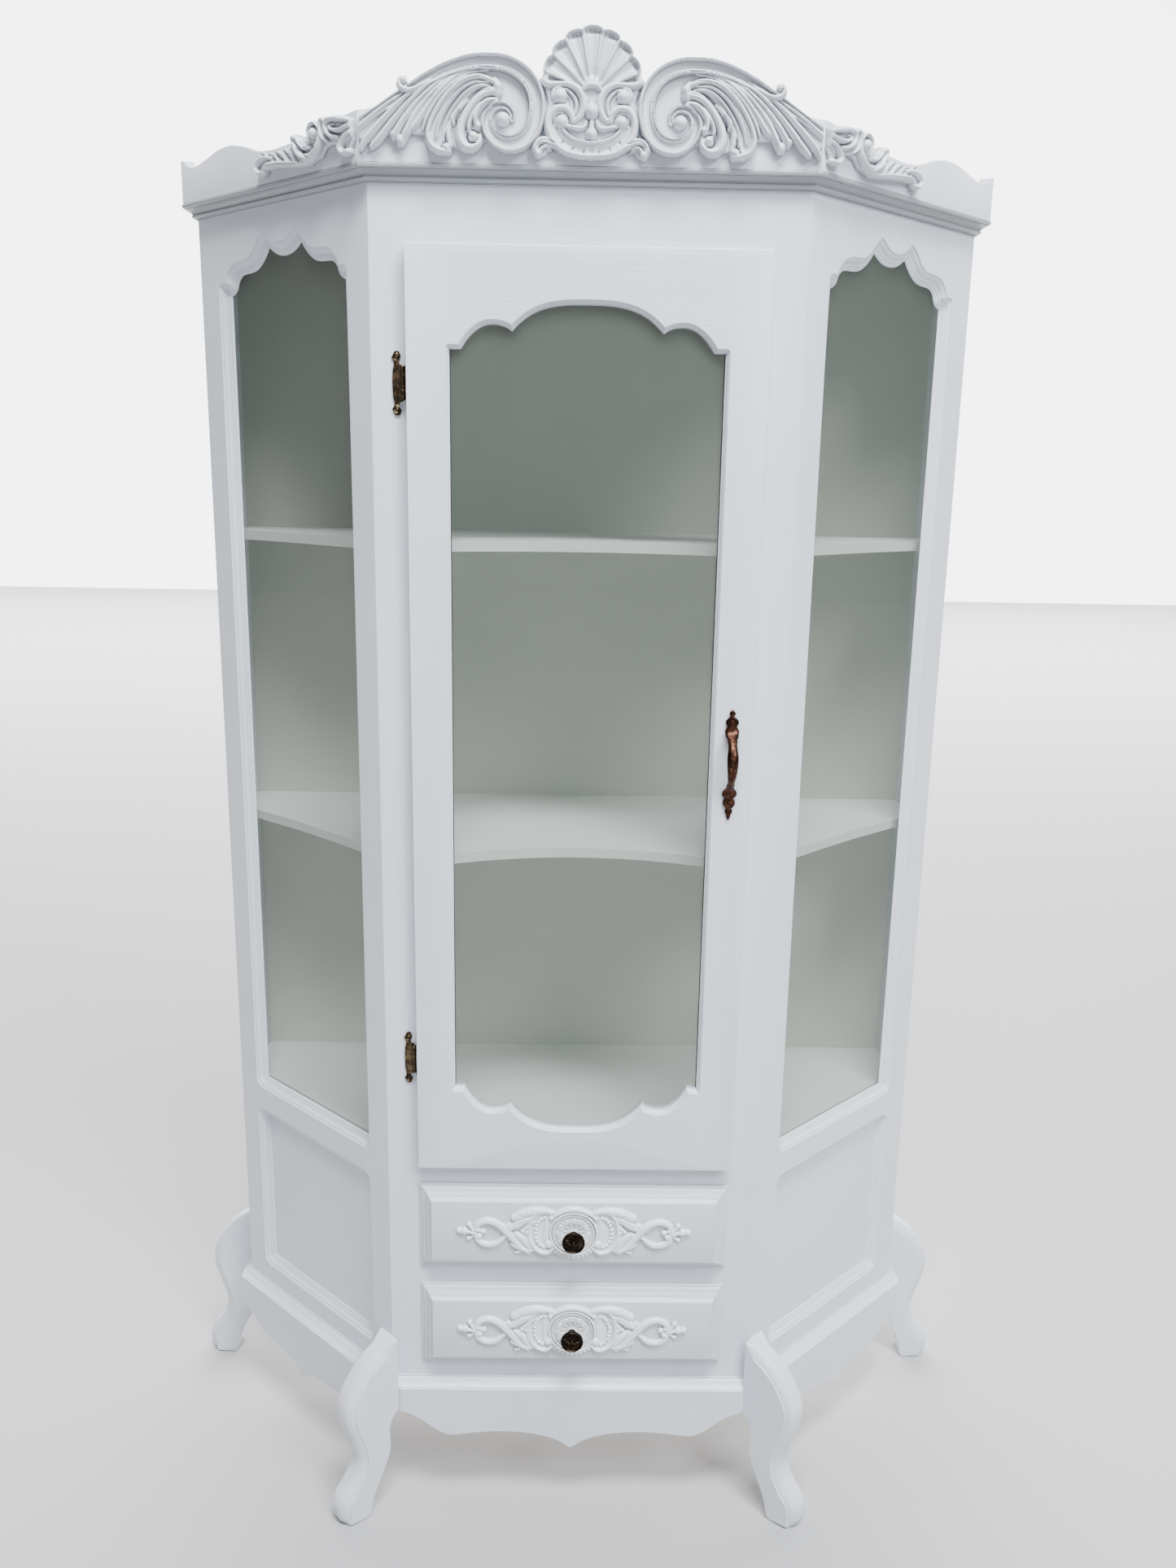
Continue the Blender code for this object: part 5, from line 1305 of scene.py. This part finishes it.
# ---------------------------------------------------------------- hardware
class Tree:
    """Geometry node tree with named inputs; it joins what it makes to the mesh it is put on."""

    def __init__(self, name, sizes, vectors):
        self.group = bpy.data.node_groups.new(name, "GeometryNodeTree")
        inputs = [("Geometry", "Geometry"), ("Count", "Int")] + [(label, "Float") for label in sizes]
        inputs += [(label, "Vector") for label in vectors] + [("Material", "Material")]
        for label, kind in inputs:
            self.group.interface.new_socket(label, in_out="INPUT", socket_type="NodeSocket" + kind)
        self.group.interface.new_socket("Geometry", in_out="OUTPUT", socket_type="NodeSocketGeometry")
        self.source = self.group.nodes.new("NodeGroupInput")

    def node(self, kind, feeds=(), **settings):
        made = self.group.nodes.new(kind)
        for key, value in settings.items():
            setattr(made, key, value)
        for slot, value in feeds:
            if hasattr(value, "is_output"):
                self.group.links.new(value, made.inputs[slot])
            else:
                made.inputs[slot].default_value = value
        return made

    def given(self, label):
        return self.source.outputs[label]

    def maths(self, how, a, b=0.0):
        return self.node("ShaderNodeMath", ((0, a), (1, b)), operation=how).outputs[0]

    def vector_maths(self, how, a, slot, b):
        return self.node("ShaderNodeVectorMath", ((0, a), (slot, b)), operation=how).outputs[0]

    def vector(self, x=0.0, y=0.0, z=0.0):
        return self.node("ShaderNodeCombineXYZ", ((0, x), (1, y), (2, z))).outputs[0]

    def index(self):
        return self.node("GeometryNodeInputIndex").outputs[0]

    def close(self, places, turn):
        """Put a small ball, scaled and turned, on every place, and finish the tree."""
        points = self.node("GeometryNodePoints", (("Count", self.given("Count")), ("Position", places)))
        ball = self.node("GeometryNodeMeshUVSphere", (("Segments", 12), ("Rings", 7), ("Radius", 1.0)))
        rows = self.node("GeometryNodeInstanceOnPoints", (
            ("Points", points.outputs[0]), ("Instance", ball.outputs[0]), ("Rotation", turn), ("Scale",
            self.given("Size")),
        ))
        both = self.node("GeometryNodeJoinGeometry")
        self.group.links.new(rows.outputs[0], both.inputs[0])
        self.group.links.new(self.given("Geometry"), both.inputs[0])
        real = self.node("GeometryNodeRealizeInstances", (("Geometry", both.outputs[0]),))
        named = self.node("GeometryNodeSetMaterial", (("Geometry", real.outputs[0]), ("Material",
            self.given("Material"))))
        out = self.node("NodeGroupOutput")
        self.group.links.new(named.outputs[0], out.inputs[0])
        return self.group


ring = Tree("ring_of_petals", ("Radius",), ("Centre", "Size"))
angle = ring.maths("MULTIPLY", ring.maths("DIVIDE", ring.index(), ring.given("Count")), 2 * math.pi)
around = [ring.maths("MULTIPLY", ring.maths(how, angle), ring.given("Radius")) for how in ("COSINE", "SINE")]
placed = ring.vector_maths("ADD", ring.vector(around[0], 0.0, around[1]), 1, ring.given("Centre"))
PETALS = ring.close(placed, ring.vector(y=ring.maths("MULTIPLY", angle, -1.0)))

row = Tree("row_of_screws", (), ("Start", "Step", "Size"))
apart = row.vector_maths("SCALE", row.given("Step"), "Scale", row.index())
SCREWS = row.close(row.vector_maths("ADD", apart, 1, row.given("Start")), row.vector())


def grown(name, verts, faces, tree, finish, slot, body, node, sharp, **values):
    """Finished piece of the solid together with what the tree adds to it."""
    mesh = plain_mesh(name, verts, faces)
    mesh.materials.append(finish)
    mesh.shade_smooth()
    holder = bpy.data.objects.new(name + "_source", mesh)
    bpy.context.scene.collection.objects.link(holder)
    step = holder.modifiers.new("repeat", "NODES")
    step.node_group = tree
    values["Material"] = finish
    for item in tree.interface.items_tree:
        if item.item_type == "SOCKET" and item.in_out == "INPUT" and item.name in values:
            step[item.identifier] = values[item.name]
    graph = bpy.context.evaluated_depsgraph_get()
    graph.update()
    made = bpy.data.meshes.new_from_object(holder.evaluated_get(graph))
    holder.modifiers.clear()
    bpy.data.objects.remove(holder)
    return adopt(name, made, finish, slot, body, node, sharp)


def lathe(profile, place, count=36):
    """Turned body from (distance, radius) pairs; place(distance, a, b) gives the spot."""
    turn = [2 * math.pi * k / count for k in range(count)]
    return tube([[place(d, r * math.cos(t), r * math.sin(t)) for t in turn] for d, r in profile])


KNOB = mm(
    (0, 5.2), (0.6, 5.6), (1.3, 5.4), (2.2, 4.4), (6.0, 4.0), (11.0, 4.2), (13.4, 5.4), (14.6, 8.2), (15.2, 11.6),
    (15.9, 13.8), (16.8, 14.9), (18.2, 15.3), (19.6, 15.3), (20.8, 15.0), (21.6, 14.4), (21.7, 13.7), (21.0, 13.1),
    (20.2, 12.7), (19.8, 11.8), (19.6, 3.2), (20.2, 2.9), (21.1, 2.7), (21.8, 2.1), (22.3, 1.1), (22.4, 0.05),
)
for name in ("drawer_upper", "drawer_lower"):
    low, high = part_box(f"{name}_knob")
    z = (low.z + high.z) / 2
    body = lathe(KNOB, lambda d, a, b: Vector((a, high.y - d, z + b)))
    grown(name.replace("drawer", "turned_knob"), *body, PETALS, DARK_BRASS, "antique_brass", name, f"{name}_knob", 50,
          Count=16, Radius=0.0079, Centre=(0, high.y - 0.0196, z), Size=(0.0050, 0.0016, 0.00128))

LEAF = mm(
    (-0.4, 19.6), (-4.0, 20.6), (-5.0, 22.2), (-5.6, 24.6), (-5.0, 26.8), (-3.4, 28.0), (-2.9, 29.6), (-3.4, 31.8),
    (-4.2, 34.0), (-5.6, 35.2), (-7.8, 35.5), (-9.8, 35.0), (-10.9, 33.4), (-12.0, 30.4), (-13.6, 29.0),
    (-13.4, 27.6), (-12.0, 26.4), (-10.8, 23.6), (-11.2, 19.6), (-12.4, 14.0), (-12.8, 7.0), (-12.9, 0.0),
)
SCREW_CUP = mm((0, 4.0), (1.2, 4.0), (1.6, 3.4), (1.2, 2.7), (0.9, 2.5), (0.7, 0.1))


def barrel(x, y, low, high):
    """A hinge knuckle with a worn band at each end."""
    half = [(0, 0.82), (0.04, 0.97), (0.10, 1.0), (0.20, 1.0), (0.24, 0.93)]
    marks = half + [(0.5, 0.93)] + [(1 - t, r) for t, r in reversed(half)]
    return lathe([(low + (high - low) * t, 0.0037 * r) for t, r in marks], lambda d, a, b: Vector((x + a, y + b, d)),
        20)


def block(low_x, high_x, low_y, high_y, low_z, high_z):
    return tube([[(low_x, y, low_z), (high_x, y, low_z), (high_x, y, high_z), (low_x, y, high_z)] for y in (low_y,
        high_y)])


for name in ("upper", "lower"):
    low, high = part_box(f"hinge_{name}_frame_leaf")
    wing_low, wing_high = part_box(f"hinge_{name}_door_leaf")
    z = (low.z + high.z) / 2
    pin_x, pin_y, screw_x = wing_low.x + 0.0041, FRONT_Y - 0.0062, wing_low.x + 0.0041 - 0.0076
    shape = LEAF + [(x, -h) for x, h in reversed(LEAF[:-1])]
    raised = [(x * 0.55 - 0.0046, h * 0.52) for x, h in shape]
    solids = [tube([[(pin_x + x + 0.0004, y, z + h) for x, h in shape] for y in (high.y, high.y - 0.0019)])]
    solids += [tube([[(pin_x + x, y, z + h) for x, h in raised] for y in (high.y - 0.0017, high.y - 0.0027)])]
    solids += [lathe(SCREW_CUP, lambda d, a, b: Vector((screw_x + a, high.y - 0.0017 - d, z + h + b * 1.12)), 24)
               for h in (0.0287, -0.0287)]
    solids += [barrel(pin_x, pin_y, z + a, z + b) for a, b in ((0.0066, 0.0187), (-0.0187, -0.0066))]
    solids += [block(pin_x - 0.0036, pin_x - 0.0012, pin_y, high.y - 0.0012, z + a, z + b)
               for a, b in ((0.0070, 0.0183), (-0.0183, -0.0070))]
    grown(f"hinge_plate_{name}", *joined(*solids), SCREWS, BRASS, "antique_brass", "case", f"hinge_{name}_frame_leaf",
        45, Count=2, Start=(screw_x, high.y - 0.0024, z - 0.0287), Step=(0, 0, 0.0574), Size=(0.0023, 0.0010, 0.0023))
    arm = [(pin_x + 0.0024, pin_y - 0.0014), (wing_high.x, pin_y - 0.0014)]
    arm += [(wing_high.x, pin_y + 0.0014), (pin_x + 0.0024, pin_y + 0.0014)]
    edge = block(wing_high.x - 0.0009, wing_high.x, wing_low.y + 0.0006, wing_high.y, z - 0.0190, z + 0.0190)
    solid = joined(barrel(pin_x, pin_y, z - 0.0063, z + 0.0063), upright(arm, z - 0.0058, z + 0.0058), edge)
    build(f"hinge_wing_{name}", *solid, BRASS, "antique_brass", "door", f"hinge_{name}_door_leaf", sharp=45,
        weld=None)

# Pull: height from its middle, distance off the door, half width, half thickness
PULL = [
    (69.0, 1.6, 0.5, 0.6), (67.6, 1.8, 1.9, 1.3), (65.6, 2.0, 3.4, 1.6), (63.6, 2.0, 3.9, 1.7), (61.8, 1.9, 2.8, 1.5),
    (60.4, 1.9, 2.5, 1.4), (58.8, 1.9, 4.6, 1.6), (56.4, 2.0, 7.2, 1.7), (53.2, 2.1, 8.2, 1.8), (50.4, 2.1, 7.4, 1.9),
    (48.6, 2.2, 5.8, 2.0), (46.8, 2.3, 6.6, 2.2), (43.2, 2.8, 8.6, 2.6), (39.4, 4.6, 8.4, 3.6), (36.0, 7.6, 7.6, 4.4),
    (33.6, 10.6, 6.0, 4.8), (31.8, 12.8, 6.6, 5.2), (29.8, 15.0, 5.6, 4.6), (24.0, 19.6, 5.8, 4.6),
    (16.0, 23.0, 6.8, 5.0), (8.0, 24.6, 7.0, 5.2), (0.0, 24.6, 6.4, 4.9), (-8.0, 23.0, 5.6, 4.4),
    (-15.0, 19.6, 4.8, 4.0), (-20.0, 15.4, 4.4, 3.8), (-22.6, 12.6, 5.4, 4.4), (-24.6, 10.4, 4.8, 4.0),
    (-28.0, 7.0, 5.6, 4.0), (-31.4, 4.4, 8.2, 3.4), (-35.0, 3.0, 9.3, 2.8), (-38.6, 2.4, 8.4, 2.2),
    (-41.0, 2.2, 5.4, 2.0), (-43.0, 2.1, 6.4, 1.9), (-46.0, 2.0, 7.6, 1.8), (-49.6, 2.0, 7.4, 1.7),
    (-52.4, 1.9, 5.2, 1.6), (-54.6, 1.9, 3.4, 1.5), (-56.6, 1.9, 4.6, 1.5), (-59.4, 1.8, 4.6, 1.5),
    (-62.0, 1.8, 2.8, 1.4), (-64.4, 1.8, 2.6, 1.4), (-66.6, 1.7, 1.8, 1.2), (-69.0, 1.6, 0.5, 0.6),
]
low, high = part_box("door_handle")
pull_x, pull_z = (low.x + high.x) / 2, (low.z + high.z) / 2
rings = []
for h, away, wide, thick in line_through(mm(*PULL), 3):
    wide, thick = max(wide, 0.0004), max(thick, 0.0004)
    y = high.y - 0.0001 - max(away - 0.0006, thick)
    round_ring = [2 * math.pi * k / 28 for k in range(28)]
    rings.append([(pull_x + wide * math.cos(t), y - thick * math.sin(t), pull_z + h) for t in round_ring])
grown("cast_pull", *tube(rings), SCREWS, COPPER, "antique_copper", "door", "door_handle", 50, Count=2, Start=(pull_x,
    high.y - 0.0040, pull_z - 0.0478), Step=(0, 0, 0.1016), Size=(0.0024, 0.0012, 0.0024))

# ---------------------------------------------------------------- carried-over pieces
for finish, nodes in (
    (INSIDE_PAINT, ("back_panel",)), (LIT_SHELF_PAINT, ("floor_panel", "middle_shelf", "upper_shelf")),
    (PAINT_UP, ("side_panel_left", "side_panel_right")), (GLASS,
    ("door_glass", "side_glass_left", "side_glass_right")),
    (WOOD, ("bottom_panel", "door_catch", "drawer_upper_box", "drawer_lower_box", "drawer_guide_left",
    "drawer_guide_right")),
):
    for node in nodes:
        slots = NODES[node].data.materials
        slots.clear()
        slots.append(finish)

# ---------------------------------------------------------------- stage, lights and camera
pale = Finish("pale_floor", Roughness=0.9)
cloud = pale.noise(3.0, 3.0)
pale.feed(Base_Color=pale.blend(cloud, (0.42, 0.42, 0.425, 1), (0.4116, 0.4116, 0.4165, 1)))
floor_mesh = bpy.data.meshes.new("floor")
floor_mesh.from_pydata([(-14, -14, 0), (14, -14, 0), (14, 14, 0), (-14, 14, 0)], [], [(0, 1, 2, 3)])
floor_mesh.materials.append(pale.made)
floor = bpy.data.objects.new("floor", floor_mesh)
bpy.context.scene.collection.objects.link(floor)
floor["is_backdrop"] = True

world = bpy.data.worlds.new("studio")
bpy.context.scene.world = world
world.use_nodes = True
sky = world.node_tree


def sky_value(source, low, high, to_low, to_high):
    made = sky.nodes.new("ShaderNodeMapRange")
    made.interpolation_type = "SMOOTHSTEP"
    sky.links.new(source, made.inputs["Value"])
    for slot, value in (("From Min", low), ("From Max", high), ("To Min", to_low), ("To Max", to_high)):
        made.inputs[slot].default_value = value
    return made.outputs[0]


way_seen = sky.nodes.new("ShaderNodeTexCoord")
split = sky.nodes.new("ShaderNodeSeparateXYZ")
sky.links.new(way_seen.outputs["Generated"], split.inputs[0])
total = sky.nodes.new("ShaderNodeMath")
sky.links.new(sky_value(split.outputs[1], 0.66, 0.92, 0.11, 6.0), total.inputs[0])
sky.links.new(sky_value(split.outputs[2], 0.2, 1.0, 0.0, 0.12), total.inputs[1])
sky.links.new(total.outputs[0], sky.nodes["Background"].inputs[1])
sky.nodes["Background"].inputs[0].default_value = (0.94, 0.96, 1.0, 1)


def area_light(name, place, aim, size, watts, colour=(1, 1, 1)):
    lamp = bpy.data.lights.new(name, "AREA")
    lamp.shape, lamp.size, lamp.size_y, lamp.energy, lamp.color = "RECTANGLE", size[0], size[1], watts, colour
    made = bpy.data.objects.new(name, lamp)
    made.location = place
    made.rotation_euler = (Vector(aim) - Vector(place)).to_track_quat("-Z", "Y").to_euler()
    bpy.context.scene.collection.objects.link(made)


area_light("key", (3.2, -4.0, 5.2), (0, 0, 0.95), (2.2, 1.8), 415, (0.93, 0.965, 1.0))
area_light("fill", (0.0, -4.2, 2.2), (0, 0, 1.0), (3.0, 2.6), 14, (0.95, 0.97, 1.0))
area_light("overhead", (0.3, -1.9, 4.7), (0, -0.2, 0.6), (1.8, 1.0), 390, (0.97, 0.985, 1.0))
area_light("backdrop", (0, 9.5, 5.0), (0, 9.0, 0), (26.0, 9.0), 8500)

camera = bpy.data.cameras.new("camera")
camera.sensor_fit, camera.sensor_width, camera.sensor_height = "AUTO", 36.0, 36.0
camera.lens = 29.037
camera.clip_start, camera.clip_end = 0.05, 60
holder = bpy.data.objects.new("camera", camera)
yaw, pitch, roll = math.radians(0.82), math.radians(13.645), math.radians(1.011)
right = Vector((math.cos(yaw), -math.sin(yaw), 0))
ahead = Vector((math.sin(yaw) * math.cos(pitch), math.cos(yaw) * math.cos(pitch), -math.sin(pitch)))
above = right.cross(ahead)
right = right * math.cos(roll) + above * math.sin(roll)
above = right.cross(ahead)
turn = Matrix((right, above, -ahead)).transposed().to_4x4()
holder.matrix_world = Matrix.Translation((-0.0127, FRONT_Y - 1.5226, 1.4199)) @ turn
bpy.context.scene.collection.objects.link(holder)
bpy.context.scene.camera = holder

low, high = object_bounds()
